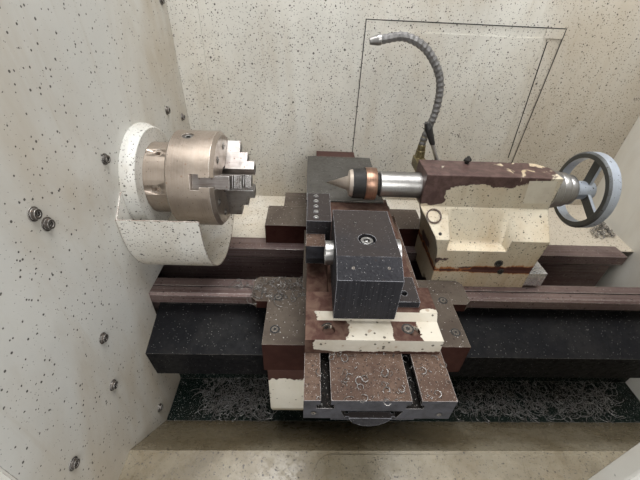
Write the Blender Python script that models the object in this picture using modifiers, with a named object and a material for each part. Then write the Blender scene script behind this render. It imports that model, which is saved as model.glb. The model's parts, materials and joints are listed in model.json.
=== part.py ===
"""CNC turning lathe: a flat-bed lathe with a three-jaw chuck, a T-slotted cross slide and a tailstock.

Units are metres. X runs along the spindle towards the tailstock, Y away from the operator and Z up.
The machine stands on the floor at Z = 0, with the middle of its footprint at the origin.
"""

from math import acos, atan2, cos, hypot, pi, radians, sin

import bmesh
import bpy
from mathutils import Matrix, Vector

# Whole machine
LENGTH = 2.290
DEPTH = 1.140
HEIGHT = 1.750
SPINDLE_HEIGHT = 1.100
AXIS_TO_REAR = 0.440
HEADSTOCK_LENGTH = 0.6525
GAP = 0.0003
SHEET = 0.003
OVERRUN = 0.010
CASING = 0.004

LEFT, RIGHT = -LENGTH / 2, LENGTH / 2
FRONT, REAR = -DEPTH / 2, DEPTH / 2
FACE = LEFT + HEADSTOCK_LENGTH
AY = REAR - AXIS_TO_REAR
AZ = SPINDLE_HEIGHT

# Base and chip tray: depths in front of the spindle axis, drops below it
FOOT_HEIGHT = 0.040
FOOT_RADIUS = 0.048
FOOT_INSET = 0.140
FOOT_COUNT = 3
SILL_DROP = 0.530
SILL_REACH = 0.468
SILL_PLATE_START = 0.4675
SILL_PLATE_LENGTH = 0.775
SILL_PLATE_FRONT = 0.625
SILL_PLATE_BACK = 0.478
SILL_PLATE_RADIUS = 0.045
TRAY_FRONT_REACH = 0.314
TRAY_REAR_REACH = 0.165
TRAY_DROP = 0.702
TRAY_UPSTAND = 0.045
SILL_PLATE_THICKNESS = 0.0025
PEDESTAL_INSET = 0.030
PEDESTAL_LENGTH = 0.340
PEDESTAL_TAPER = 0.030
PEDESTAL_FRONT = 0.120
PEDESTAL_REAR = 0.080

# Bed
BED_START = 0.155
BED_END = 1.540
BED_DROP = 0.272
BED_HEIGHT = 0.288
FRONT_WAY_OUTER = 0.170
FRONT_WAY_INNER = 0.140
GROOVE_WIDTH = 0.005
GROOVE_DEPTH = 0.012
FRONT_STRIP_INNER = 0.106
REAR_WAY_INNER = 0.040
REAR_WAY_OUTER = 0.107
WAY_THICKNESS = 0.034
WAY_EDGE_CHAMFER = 0.006
BED_FRONT_WALL = 0.133
BED_REAR_WALL = 0.096
BED_WALL = 0.022
BED_FLOOR = 0.030

# Headstock sheet metal
WALL_FRONT_REACH = 0.639
SPLASH_BACK = 0.402
SHELF_DROP = 0.300
SHELF_RISE = 0.020
SHELF_CLEARANCE = 0.002
CORNER_STRIP_WIDTH = 0.092
ACCESS_START = 0.600
ACCESS_WIDTH = 0.575
ACCESS_TOP = 0.325
ACCESS_BOTTOM = 0.180
EAR_WIDTH = 0.060
EAR_HEIGHT = 0.030

# Doors
LEFT_DOOR_LENGTH = 0.620
LEFT_DOOR_INSET = 0.0225
RIGHT_DOOR_LENGTH = 0.740
RIGHT_DOOR_START = 0.8875
RIGHT_COVER_START = 0.925
DOOR_THICKNESS = 0.022
DOOR_PLANE = 0.648
POST_WIDTH = 0.057
POST_DEPTH = 0.034
POST_STEPS = 6
RAIL_DEPTH = 0.052
RAIL_HEIGHT = 0.060
RAIL_WALL = 0.004
DOOR_TOP_ENGAGE = 0.025
WINDOW_MARGIN = 0.130
WINDOW_HEIGHT = 0.520
WINDOW_TOP_MARGIN = 0.140
WINDOW_RADIUS = 0.040
GLASS = 0.006

# Spindle nose, collar and chuck guard: distances from the headstock wall
COLLAR_ROOT_RADIUS = 0.139
COLLAR_FACE_RADIUS = 0.1315
COLLAR_LENGTH = 0.032
COLLAR_STEP = 0.014
COLLAR_STEP_DEPTH = 0.007
NOSE_END = 0.0955
NOSE_RADIUS = 0.0925
SPINDLE_RADIUS = 0.062
SPINDLE_BORE = 0.030
SPINDLE_TAIL = 0.600
CAM_COUNT = 6
CAM_RADIUS = 0.0125
CAM_SOCKET = 0.011
CAM_ANGLE = radians(7.6)
CAM_RING_DEPTH = 0.003
CAM_DEPTH = 0.016
CAM_PLANE = 0.0625
GUARD_RADIUS = 0.1916
GUARD_DROP = 0.059
GUARD_TOP_DROP = 0.012
GUARD_LENGTH = 0.1875
GUARD_TOP_REAR_DROP = 0.012
GUARD_NECK = 0.030

# Headstock inside
CASTING_START = 0.030
CASTING_LENGTH = 0.470
CASTING_HALF_WIDTH = 0.165
CASTING_TOP = 0.165
CASTING_CHAMFER = 0.050
PULLEY_START = 0.505
PULLEY_WIDTH = 0.046
PULLEY_RADIUS = 0.085
MOTOR_PULLEY_RADIUS = 0.055
PULLEY_FLANGE = 0.006
PULLEY_FLANGE_WIDTH = 0.004
BELT_THICKNESS = 0.006
BELT_STEPS = 12
MOTOR_REACH = 0.255
MOTOR_DROP = 0.400
MOTOR_RADIUS = 0.095
MOTOR_START = 0.150
MOTOR_FLANGE = 0.014
MOTOR_SHAFT = 0.016

# Chuck
CHUCK_RADIUS = 0.125
CHUCK_LENGTH = 0.114
CHUCK_CHAMFER = 0.009
CHUCK_BORE = 0.036
CHUCK_ANGLE = radians(23)
JAW_COUNT = 3
SCROLL_RADIUS = 0.086
SCROLL_BORE = 0.045
SCROLL_THICKNESS = 0.020
SCROLL_BACK = 0.040
PINION_RADIUS = 0.014
PINION_INSET = 0.003
PINION_SQUARE = 0.011
PINION_SOCKET = 0.016
PINION_BACK = 0.0417
JAW_NECK = 0.022
JAW_BASE = 0.037
JAW_BASE_HEIGHT = 0.0195
JAW_INNER = 0.024
JAW_LENGTH = 0.086
JAW_STEP_HEIGHTS = (0.036, 0.058, 0.078)
JAW_STEP_LENGTHS = (0.086, 0.052, 0.026)
JAW_WIDTH_OUT = 0.032
JAW_TOOTH = 0.0025
JAW_TEETH = 4

# Leadscrew along the bed and its cover
COVER_REAR_DROP = 0.3489
COVER_FRONT_REACH = 0.278
COVER_FRONT_DROP = 0.3949
COVER_LOW_REACH = 0.266
COVER_LOW_DROP = 0.5106
COVER_FLANGE = 0.020
COVER_SHEET = 0.0025
Z_SCREW_REACH = 0.205
Z_SCREW_DROP = 0.440
Z_SCREW_RADIUS = 0.016
Z_SCREW_END = 1.500
BRACKET_LENGTH = 0.040
BRACKET_HALF_HEIGHT = 0.030
BRACKET_FRONT = 0.240

# Saddle and apron
SLIDE_LEFT = 0.4375
SLIDE_WIDTH = 0.262
SADDLE_TOP_DROP = 0.1803
WING_DROP = 0.215
WING_FRONT_REACH = 0.373
WING_LEFT = 0.097
WING_RIGHT = 0.119
WING_BOTTOM_DROP = 0.315
WING_REAR_REACH = 0.205
EXT_DROP = 0.245
EXT_LEFT = 0.147
EXT_RIGHT = 0.190
EXT_INNER_REACH = 0.1220
EXT_CORNER = 0.014
BRIDGE_LEFT = 0.010
BRIDGE_RIGHT = 0.038
GUIDE_START = 0.040
GUIDE_WIDTH = 0.180
REAR_WING_DROP = 0.200
REAR_WING_FRONT = 0.074
REAR_WING_BACK = 0.196
REAR_WING_LEFT = 0.140
REAR_WING_RIGHT = 0.125
SADDLE_REAR = 0.2397
BOSS_LEFT = 0.087
BOSS_BACK = 0.300
BOSS_DROP = 0.010
REAR_WING_THICKNESS = 0.040
APRON_LEFT = 0.089
APRON_RIGHT = 0.012
APRON_BACK_REACH = 0.300
APRON_KNEE_DROP = 0.500
APRON_LOW_REACH = 0.345
APRON_BOTTOM_DROP = 0.567
APRON_RETURN = 0.022
NUT_LENGTH = 0.090
NUT_HALF_WIDTH = 0.030
NUT_TOP_DROP = 0.412
DOVETAIL_HALF = 0.045
DOVETAIL_FLARE = 0.010
DOVETAIL_HEIGHT = 0.026
X_SCREW_OFFSET = 0.120
X_SCREW_DROP = 0.185
X_SCREW_RADIUS = 0.010
X_SCREW_REACH = 0.362
X_SCREW_ENGAGE = 0.020
X_CHANNEL_HALF = 0.020
X_CHANNEL_DEPTH = 0.028

# Cross slide and riser
TABLE_DROP = 0.120
TABLE_THICKNESS = 0.060
TABLE_FRONT = 0.550
TABLE_REAR = 0.027
SLOT_STARTS = (0.029, 0.184)
SLOT_WIDTH = 0.0175
SLOT_NECK = 0.014
SLOT_T_WIDTH = 0.031
SLOT_T_HEIGHT = 0.012
NUT_LUG_HALF = 0.016
NUT_LUG_LENGTH = 0.060
NUT_LUG_WALL = 0.006
CAP_RADIUS = 0.040
CAP_DROP = 0.170
CAP_LENGTH = 0.012
TAB_LENGTH = 0.006
TAB_DEPTH = 0.011
TAB_START = 0.050
TAB_WIDTH = 0.151
RISER_FRONT = 0.458
RISER_LEDGE_DROP = 0.080
RISER_LEDGE_BACK = 0.413
RISER_CREST = 0.403
RISER_TOP_DROP = 0.065
RISER_WIDTH = 0.256
RISER_POCKET_WIDTH = 0.046
RISER_POCKET_FRONT = 0.352
RISER_POCKET_DEPTH = 0.038
RISER_NOTCH_WIDTH = 0.028
RISER_NOTCH_FRONT = 0.335
COUNTERBORE_STARTS = (0.044, 0.205)
COUNTERBORE_RADIUS = 0.012
COUNTERBORE_DEPTH = 0.009

# Tool block, turning holder and rear cover
BLOCK_START = 0.052
BLOCK_WIDTH = 0.116
BLOCK_FRONT = 0.421
BLOCK_BACK = 0.229
BLOCK_TOP = 0.055
BLOCK_CREST = 0.381
BLOCK_BROW = 0.034
BORE_REACH = 0.305
SLEEVE_RADIUS = 0.025
SLEEVE_BORE = 0.016
SLEEVE_FLANGE = 0.031
SLEEVE_FLANGE_LENGTH = 0.018
SLEEVE_TAIL = 0.016
BOLT_WELL_RADIUS = 0.017
BOLT_WELL_DEPTH = 0.012
BOLT_WELL_REACH = 0.330
BOLT_WELL_SHARE = 0.52
CLAMP_LENGTH = 0.054
CLAMP_FRONT = 0.390
CLAMP_BACK = 0.320
CLAMP_THICKNESS = 0.015
CLAMP_HOLE = 0.007
HOLDER_LEFT = 0.003
HOLDER_FRONT = 0.221
HOLDER_BACK = 0.098
HOLDER_TOP = 0.020
HOLDER_PLATE = 0.035
HOLDER_SPINE = 0.013
HOLDER_BASE = 0.009
SHANK_HEIGHT = 0.034
SHANK_FRONT = 0.266
SHANK_TIP = 0.072
SHANK_NOSE = 0.026
SET_SCREW_COUNT = 5
SET_SCREW_RADIUS = 0.006
SET_SCREW_DEPTH = 0.004
SET_SCREW_INSET = 0.015
COVER_PLATE_LEFT = 0.007
COVER_PLATE_WIDTH = 0.224
COVER_PLATE_LAP = 0.022
COVER_PLATE_BACK = 0.315
COVER_PLATE_THICKNESS = 0.0045
X_BOX_START = 0.026
X_BOX_WIDTH = 0.139
X_BOX_BACK = 0.374
X_BOX_BOTTOM_DROP = 0.225

# Tailstock: distances from the headstock wall
TAIL_NOSE = 0.7425
TAIL_END = 1.1025
TAIL_TOP = 0.055
TAIL_HALF = 0.047
TAIL_CHEEK_DROP = 0.038
TAIL_FRONT = 0.1175
TAIL_HIP_DROP = 0.100
TAIL_SEAM_DROP = 0.205
TAIL_REAR = 0.066
TAIL_REAR_HIP_DROP = 0.060
TAIL_REAR_CHEEK_DROP = 0.020
TAIL_FOOT_START = 0.8035
TAIL_FOOT_END = 1.0875
NOSE_SHOULDER = 0.038
NOSE_SHOULDER_DROP = 0.095
NOSE_WAIST = 0.052
NOSE_WAIST_DROP = 0.136
END_CORNER = 0.030
POCKET_START = 0.820
POCKET_END = 0.990
POCKET_TOP_DROP = 0.028
POCKET_LEDGE_DROP = 0.136
POCKET_FLOOR_REACH = 0.078
POCKET_RADIUS = 0.012
PLUG_START = 0.775
PLUG_REACH = 0.070
PLUG_DROP = 0.058
PLUG_RADIUS = 0.016
PLUG_HEIGHT = 0.003
BLOCK_END_LENGTH = 0.054
BLOCK_END_BACK = 0.040
BLOCK_END_TOP_DROP = 0.214
BLOCK_END_LOW_DROP = 0.262
TONGUE_HALF = 0.060
TONGUE_DEPTH = 0.020
QUILL_RADIUS = 0.035
QUILL_EXTENSION = 0.113
QUILL_LENGTH = 0.400
QUILL_CHAMFER = 0.003
QUILL_TAPER_MOUTH = 0.0160
QUILL_TAPER_DEPTH = 0.110
QUILL_NUT_BORE = 0.0123
CENTRE_TIP = 0.4842
CENTRE_CONE_LENGTH = 0.060
CENTRE_CONE_RADIUS = 0.020
CENTRE_SHOULDER_RADIUS = 0.038
CENTRE_BODY_START = 0.5565
CENTRE_BAND = 0.033
CENTRE_BODY_RADIUS = 0.041
CENTRE_RING_RADIUS = 0.0435
CENTRE_RING = 0.031
CENTRE_NECK_RADIUS = 0.029
CENTRE_PIN_RADIUS = 0.012
CENTRE_PIN_LENGTH = 0.030
DIAL_RADII = (0.052, 0.048, 0.042)
DIAL_STEP = 0.023
DIAL_GROOVE = 0.003
FEED_SCREW_RADIUS = 0.012
FEED_SCREW_START = 0.880
WHEEL_START = 1.1975
WHEEL_WIDTH = 0.033
WHEEL_RADIUS = 0.106
WHEEL_RIM = 0.017
WHEEL_HUB = 0.026
WHEEL_SPOKES = 3
WHEEL_SPOKE_WIDTH = 0.026
WHEEL_SPOKE_THICKNESS = 0.009
WHEEL_CHAMFER = 0.005
LEVER_START = 0.8125
LEVER_DROP = -0.028
LEVER_HUB_RADIUS = 0.014
LEVER_HUB_LENGTH = 0.042
LEVER_ROD_RADIUS = 0.0055
LEVER_LEAN = radians(-27)
LEVER_ROD_LENGTH = 0.070
LEVER_GRIP_LENGTH = 0.066
LEVER_GRIP_RADIUS = 0.011
LEVER_GRIP_NECK = 0.007

# Coolant hose: the valve block stands on the back of the tailstock
VALVE_START = 0.7505
VALVE_SIZE = 0.030
VALVE_REACH = 0.083
VALVE_BASE = 0.004
VALVE_HEIGHT = 0.030
SOCKET_RADIUS = 0.0135
SOCKET_HEIGHT = 0.022
HOSE_RADIUS = 0.0095
HOSE_RIB = 0.0016
HOSE_POINTS = 61
NOZZLE_LENGTH = 0.028
NOZZLE_BACK_RADIUS = 0.0125
NOZZLE_FRONT_RADIUS = 0.0075
NOZZLE_BORE = 0.005
HOSE_ROUTE = (
    (0.000, 0.000),
    (0.000, 0.020),
    (0.002, 0.040),
    (0.011, 0.080),
    (0.016, 0.115),
    (0.014, 0.167),
    (-0.004, 0.214),
    (-0.048, 0.262),
    (-0.103, 0.284),
    (-0.160, 0.276),
)

ROUND = 48
ROUND_SMALL = 24
ROUND_LARGE = 72
ROUND_TINY = 12
MERGE = 0.00001

parts = bpy.data.collections.new("cnc_turning_lathe")
cutters = bpy.data.collections.new("cutters")


def clear_scene():
    for obj in list(bpy.data.objects):
        bpy.data.objects.remove(obj, do_unlink=True)
    bpy.context.scene.collection.children.link(parts)
    bpy.context.scene.collection.children.link(cutters)


def paint(name, colour, roughness, metallic=0.0):
    """A named Principled material, made once."""
    if name in bpy.data.materials:
        return bpy.data.materials[name]
    material = bpy.data.materials.new(name)
    material.use_nodes = True
    surface = material.node_tree.nodes["Principled BSDF"]
    surface.inputs["Base Color"].default_value = (*colour, 1)
    surface.inputs["Roughness"].default_value = roughness
    surface.inputs["Metallic"].default_value = metallic
    return material


def cream():
    return paint("cream_paint", (0.70, 0.67, 0.57), 0.5)


def black():
    return paint("black_paint", (0.02, 0.02, 0.02), 0.6)


def gunmetal():
    return paint("gunmetal", (0.10, 0.10, 0.11), 0.5, 0.8)


def rusted():
    return paint("rusted_iron", (0.22, 0.15, 0.11), 0.6, 0.7)


def ground():
    return paint("ground_steel", (0.55, 0.54, 0.53), 0.3, 1)


def bright():
    return paint("bright_steel", (0.70, 0.70, 0.72), 0.2, 1)


def rubber():
    return paint("belt_rubber", (0.02, 0.02, 0.02), 0.9)


def new_object(name, mesh, material=None, collection=None):
    obj = bpy.data.objects.new(name, mesh)
    (collection or parts).objects.link(obj)
    if material:
        mesh.materials.append(material)
    return obj


def as_cutter(obj):
    """Moves an object among the helpers that only cut or join."""
    for collection in list(obj.users_collection):
        collection.objects.unlink(obj)
    cutters.objects.link(obj)
    obj.hide_render = True
    obj.display_type = "WIRE"
    return obj


def box(name, x, y, z, material=None):
    """A block between two values on each axis, with its origin at its middle."""
    bm = bmesh.new()
    bmesh.ops.create_cube(bm, size=1)
    size = Vector((x[1] - x[0], y[1] - y[0], z[1] - z[0]))
    bmesh.ops.scale(bm, vec=size, verts=bm.verts)
    mesh = bpy.data.meshes.new(name)
    bm.to_mesh(mesh)
    bm.free()
    obj = new_object(name, mesh, material)
    obj.location = ((x[0] + x[1]) / 2, (y[0] + y[1]) / 2, (z[0] + z[1]) / 2)
    return obj


AXES = {
    "X": Matrix(((0, 0, 1, 0), (1, 0, 0, 0), (0, 1, 0, 0), (0, 0, 0, 1))),
    "Y": Matrix(((1, 0, 0, 0), (0, 0, 1, 0), (0, 1, 0, 0), (0, 0, 0, 1))),
    "Z": Matrix.Identity(4),
}


def prism(name, outline, axis, low, high, material=None):
    """An outline drawn across an axis (YZ, XZ or XY) and extruded along it from low to high."""
    bm = bmesh.new()
    corners = [bm.verts.new((u, v, 0)) for u, v in outline]
    face = bm.faces.new(corners)
    extruded = bmesh.ops.extrude_face_region(bm, geom=[face])
    top = [item for item in extruded["geom"] if isinstance(item, bmesh.types.BMVert)]
    bmesh.ops.translate(bm, verts=top, vec=(0, 0, high - low))
    bmesh.ops.translate(bm, verts=bm.verts, vec=(0, 0, low))
    bmesh.ops.transform(bm, matrix=AXES[axis], verts=bm.verts)
    bmesh.ops.recalc_face_normals(bm, faces=bm.faces)
    mesh = bpy.data.meshes.new(name)
    bm.to_mesh(mesh)
    bm.free()
    return new_object(name, mesh, material)


TURNS = {
    "X": Matrix.Rotation(pi / 2, 4, "Y"),
    "Y": Matrix.Rotation(-pi / 2, 4, "X"),
    "Z": Matrix.Identity(4),
}


def frame_along(direction):
    return Vector((0, 0, 1)).rotation_difference(Vector(direction)).to_matrix().to_4x4()


def smooth(obj, angle=radians(35)):
    obj.data.shade_smooth()
    obj.data.set_sharp_from_angle(angle=angle)
    return obj


def turned(name, profile, origin, direction="X", material=None, steps=ROUND, closed=True):
    """A turned piece: (along, radius) points from one end to the other, spun by a Screw modifier."""
    points = [(radius, 0, along) for along, radius in reversed(profile)]
    edges = [(i, i + 1) for i in range(len(points) - 1)]
    if closed:
        edges.append((len(points) - 1, 0))
    half = bpy.data.meshes.new(name)
    half.from_pydata(points, edges, [])
    obj = new_object(name, half)
    screw = obj.modifiers.new("spin", "SCREW")
    screw.axis = "Z"
    screw.steps = screw.render_steps = steps
    screw.use_merge_vertices = True
    screw.merge_threshold = MERGE
    graph = bpy.context.evaluated_depsgraph_get()
    spun = bpy.data.meshes.new_from_object(obj.evaluated_get(graph))
    bm = bmesh.new()
    bm.from_mesh(spun)
    bmesh.ops.remove_doubles(bm, verts=bm.verts, dist=MERGE)
    bmesh.ops.recalc_face_normals(bm, faces=bm.faces)
    bm.to_mesh(spun)
    bm.free()
    obj.modifiers.remove(screw)
    obj.data = spun
    bpy.data.meshes.remove(half)
    if material:
        spun.materials.append(material)
    turn = TURNS[direction] if direction in ("X", "Y", "Z") else frame_along(direction)
    obj.matrix_basis = Matrix.Translation(origin) @ turn
    return smooth(obj)


def rod(name, radius, start, end, material=None, steps=ROUND_SMALL):
    """A plain round bar between two points."""
    reach = Vector(end) - Vector(start)
    bm = bmesh.new()
    bmesh.ops.create_cone(
        bm,
        cap_ends=True,
        segments=steps,
        radius1=radius,
        radius2=radius,
        depth=reach.length,
    )
    mesh = bpy.data.meshes.new(name)
    bm.to_mesh(mesh)
    bm.free()
    obj = new_object(name, mesh, material)
    middle = (Vector(start) + Vector(end)) / 2
    obj.matrix_basis = Matrix.Translation(middle) @ frame_along(reach.normalized())
    return smooth(obj)


def cut(obj, cutter, operation="DIFFERENCE"):
    """Cuts one shape from another, or joins it; the helper then follows its piece."""
    modifier = obj.modifiers.new(cutter.name, "BOOLEAN")
    modifier.operation = operation
    modifier.solver = "EXACT"
    modifier.object = as_cutter(cutter)
    cutter.parent = obj
    cutter.matrix_parent_inverse = obj.matrix_basis.inverted()
    return obj


def join(obj, other):
    return cut(obj, other, "UNION")


def hold(name, place, members):
    """Parents pieces to an empty on the axis or line that they move along."""
    empty = bpy.data.objects.new(name, None)
    parts.objects.link(empty)
    empty.location = place
    empty.empty_display_size = OVERRUN
    for member in members:
        member = bpy.data.objects[member]
        member.parent = empty
        member.matrix_parent_inverse = Matrix.Translation(place).inverted()
    return empty


def below(drop):
    return AZ - drop


def ahead(reach):
    return AY - reach


def base_line():
    """Top of the base under the tray and sill, from the bed side to the door side: (y, z) points."""
    return [
        (ahead(TRAY_REAR_REACH), below(TRAY_DROP)),
        (ahead(TRAY_FRONT_REACH), below(TRAY_DROP)),
        (ahead(SILL_REACH), below(SILL_DROP)),
        (FRONT, below(SILL_DROP)),
    ]


def end_outline(front, back, rise):
    """A wall across the machine, from the sill and tray up to the top: (y, z) points."""
    tray = below(TRAY_DROP) + rise
    sill = below(SILL_DROP) + rise
    return [
        (front, sill),
        (ahead(SILL_REACH), sill),
        (ahead(TRAY_FRONT_REACH), tray),
        (back, tray),
        (back, HEIGHT),
        (front, HEIGHT),
    ]


def sheet_along(line, rise, thickness):
    """A sheet's outline that follows a line at a height above it."""
    low = [(y, z + rise) for y, z in line]
    high = [(y, z + rise + thickness) for y, z in line]
    return low + high[::-1]


def base_cabinet():
    line = [(y, z - SHEET - GAP) for y, z in base_line()]
    floor = line[0][1]
    outline = [(REAR, FOOT_HEIGHT), (REAR, floor)] + line + [(FRONT, FOOT_HEIGHT)]
    base = prism("base_cabinet", outline, "X", LEFT, RIGHT, cream())
    bed_low = below(BED_DROP + BED_HEIGHT) - GAP
    first = LEFT + BED_START + PEDESTAL_INSET
    last = FACE + BED_END - PEDESTAL_INSET - PEDESTAL_LENGTH
    for left in (first, last):
        right = left + PEDESTAL_LENGTH
        outline = [
            (left, floor - OVERRUN),
            (right, floor - OVERRUN),
            (right - PEDESTAL_TAPER, bed_low),
            (left + PEDESTAL_TAPER, bed_low),
        ]
        y = (ahead(PEDESTAL_FRONT), AY + PEDESTAL_REAR)
        join(base, prism("pedestal", outline, "Y", *y))
    pitch = (LENGTH - 2 * FOOT_INSET) / (FOOT_COUNT - 1)
    for column in range(FOOT_COUNT):
        for y in (FRONT + FOOT_INSET, REAR - FOOT_INSET):
            x = LEFT + FOOT_INSET + column * pitch
            top = (x, y, FOOT_HEIGHT + OVERRUN)
            join(base, rod("levelling_foot", FOOT_RADIUS, (x, y, 0), top, steps=ROUND_TINY))
    return base


def chip_tray():
    """The tray's floor sheet, turned up along the bed."""
    low, top = below(TRAY_DROP) - SHEET, below(TRAY_DROP)
    rear, front = ahead(TRAY_REAR_REACH), ahead(TRAY_FRONT_REACH) + GAP
    outline = [
        (front, low),
        (front, top),
        (rear - SHEET, top),
        (rear - SHEET, top + TRAY_UPSTAND),
        (rear, top + TRAY_UPSTAND),
        (rear, low),
    ]
    return prism("chip_tray", outline, "X", FACE + GAP, RIGHT - CASING - GAP, cream())


def front_sill():
    """The sloped panel in front of the tray and the flat sill that the doors slide on."""
    line = base_line()[1:]
    sill = prism("front_sill", sheet_along(line, -SHEET, SHEET), "X", LEFT, RIGHT, cream())
    left = FACE + SILL_PLATE_START
    edges = (left, left + SILL_PLATE_LENGTH, ahead(SILL_PLATE_FRONT), ahead(SILL_PLATE_BACK))
    outline = rounded_rectangle(*edges, SILL_PLATE_RADIUS)
    top = below(SILL_DROP)
    plate = prism("sill_plate", outline, "Z", top - SHEET / 2, top + SILL_PLATE_THICKNESS)
    return join(sill, plate)


def bed():
    """The bed casting: two ways, two walls and a floor, open at the top between the ways."""
    top = below(BED_DROP)
    under = top - WAY_THICKNESS
    floor = top - BED_HEIGHT
    front = [
        (ahead(FRONT_STRIP_INNER), top),
        (ahead(FRONT_WAY_INNER - GROOVE_WIDTH), top),
        (ahead(FRONT_WAY_INNER - GROOVE_WIDTH), top - GROOVE_DEPTH),
        (ahead(FRONT_WAY_INNER), top - GROOVE_DEPTH),
        (ahead(FRONT_WAY_INNER), top),
        (ahead(FRONT_WAY_OUTER) + WAY_EDGE_CHAMFER, top),
        (ahead(FRONT_WAY_OUTER), top - WAY_EDGE_CHAMFER),
        (ahead(FRONT_WAY_OUTER), under),
        (ahead(BED_FRONT_WALL), under - (FRONT_WAY_OUTER - BED_FRONT_WALL) / 2),
        (ahead(BED_FRONT_WALL), floor),
    ]
    rear = [
        (AY + BED_REAR_WALL, floor),
        (AY + BED_REAR_WALL, under),
        (AY + REAR_WAY_OUTER, under),
        (AY + REAR_WAY_OUTER, top - WAY_EDGE_CHAMFER),
        (AY + REAR_WAY_OUTER - WAY_EDGE_CHAMFER, top),
        (AY + REAR_WAY_INNER, top),
        (AY + REAR_WAY_INNER, under),
        (AY + BED_REAR_WALL - BED_WALL, under - WAY_THICKNESS),
        (AY + BED_REAR_WALL - BED_WALL, floor + BED_FLOOR),
        (ahead(BED_FRONT_WALL - BED_WALL), floor + BED_FLOOR),
        (ahead(BED_FRONT_WALL - BED_WALL), under),
        (ahead(FRONT_STRIP_INNER), under),
    ]
    casting = prism("bed", front + rear, "X", LEFT + BED_START, FACE + BED_END, rusted())
    end = FACE + Z_SCREW_END + OVERRUN
    middle = below(Z_SCREW_DROP)
    y = (ahead(BRACKET_FRONT), ahead(BED_FRONT_WALL) + OVERRUN)
    z = (middle - BRACKET_HALF_HEIGHT, middle + BRACKET_HALF_HEIGHT)
    join(casting, box("screw_bracket", (end - BRACKET_LENGTH, end), y, z))
    start = (end - BRACKET_LENGTH - OVERRUN, ahead(Z_SCREW_REACH), middle)
    stop = (FACE + Z_SCREW_END + GAP, ahead(Z_SCREW_REACH), middle)
    return cut(casting, rod("bracket_bore", Z_SCREW_RADIUS + GAP, start, stop))


def headstock_wall():
    """The sheet wall beside the chuck, with holes for the spindle, the bed and the leadscrew."""
    outline = end_outline(ahead(WALL_FRONT_REACH), AY + SPLASH_BACK, GAP)
    wall = prism("headstock_wall", outline, "X", FACE - SHEET, FACE, cream())
    x = (FACE - SHEET - OVERRUN, FACE + OVERRUN)
    hole = rod("spindle_hole", NOSE_RADIUS + GAP, (x[0], AY, AZ), (x[1], AY, AZ), steps=ROUND)
    cut(wall, hole)
    y = (ahead(FRONT_WAY_OUTER) - GAP, AY + REAR_WAY_OUTER + GAP)
    z = (below(BED_DROP + BED_HEIGHT) - GAP, below(BED_DROP) + GAP)
    cut(wall, box("bed_window", x, y, z))
    start = (x[0], ahead(Z_SCREW_REACH), below(Z_SCREW_DROP))
    end = (x[1], ahead(Z_SCREW_REACH), below(Z_SCREW_DROP))
    return cut(wall, rod("screw_hole", Z_SCREW_RADIUS + GAP, start, end))


def front_covers():
    """The fixed front panels: one over the headstock, one over the tailstock's end."""
    front = ahead(WALL_FRONT_REACH) - GAP
    y = (front - CASING, front)
    z = (below(SILL_DROP) + GAP, HEIGHT)
    box("headstock_front_cover", (LEFT, FACE), y, z, cream())
    box("right_front_cover", (FACE + RIGHT_COVER_START, RIGHT), y, z, cream())


def headstock_casing():
    """The end, rear and top of the headstock cabinet, folded from one sheet."""
    right = FACE - SHEET - GAP
    outline = end_outline(ahead(WALL_FRONT_REACH), REAR, GAP)
    casing = prism("headstock_casing", outline, "X", LEFT, right, cream())
    x = (LEFT + CASING, right + OVERRUN)
    y = (ahead(WALL_FRONT_REACH) - OVERRUN, REAR - CASING)
    z = (below(TRAY_DROP) - OVERRUN, HEIGHT - CASING)
    return cut(casing, box("headstock_room", x, y, z))


def back_splash():
    """The back wall with the shelf folded forward behind the rear way."""
    back = AY + SPLASH_BACK
    low = below(TRAY_DROP) - SHEET
    shelf = below(SHELF_DROP)
    front = AY + REAR_WAY_OUTER + SHELF_CLEARANCE
    outline = [
        (back + SHEET, low),
        (back + SHEET, HEIGHT),
        (back, HEIGHT),
        (back, shelf + SHELF_RISE),
        (front, shelf),
        (front, shelf - SHEET),
        (back, shelf + SHELF_RISE - SHEET),
        (back, low),
    ]
    return prism("back_splash", outline, "X", FACE + GAP, RIGHT - CASING - GAP, cream())


def corner_strip():
    x = (FACE + GAP, FACE + CORNER_STRIP_WIDTH)
    back = AY + SPLASH_BACK - GAP
    z = (below(SHELF_DROP) + SHELF_RISE + GAP, HEIGHT)
    return box("corner_strip", x, (back - SHEET, back), z, cream())


def splash_access_panel():
    """The screwed-on panel of the back wall, with a raised ear at each top corner."""
    left = FACE + ACCESS_START
    right = left + ACCESS_WIDTH
    top, low = AZ + ACCESS_TOP, AZ - ACCESS_BOTTOM
    outline = [
        (left, low),
        (right, low),
        (right, top),
        (right + EAR_WIDTH, top),
        (right + EAR_WIDTH, top + EAR_HEIGHT),
        (right - SHEET, top + EAR_HEIGHT),
        (right - SHEET, top),
        (left + EAR_WIDTH, top),
        (left + EAR_WIDTH, top + EAR_HEIGHT),
        (left, top + EAR_HEIGHT),
    ]
    back = AY + SPLASH_BACK - GAP
    return prism("splash_access_panel", outline, "Y", back - SHEET, back, cream())


def right_end_wall():
    outline = end_outline(ahead(WALL_FRONT_REACH), REAR, GAP)
    return prism("right_end_wall", outline, "X", RIGHT - CASING, RIGHT, cream())


def upper_rail():
    """The door rail: a channel open at the bottom, which the doors' top edges run in."""
    back = ahead(WALL_FRONT_REACH) - CASING - 2 * GAP
    front = back - RAIL_DEPTH
    low = HEIGHT - RAIL_HEIGHT
    outline = [
        (front, low),
        (front, HEIGHT),
        (back, HEIGHT),
        (back, low),
        (back - RAIL_WALL, low),
        (back - RAIL_WALL, HEIGHT - RAIL_WALL),
        (front + RAIL_WALL, HEIGHT - RAIL_WALL),
        (front + RAIL_WALL, low),
    ]
    return prism("upper_rail", outline, "X", LEFT, RIGHT, cream())


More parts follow.
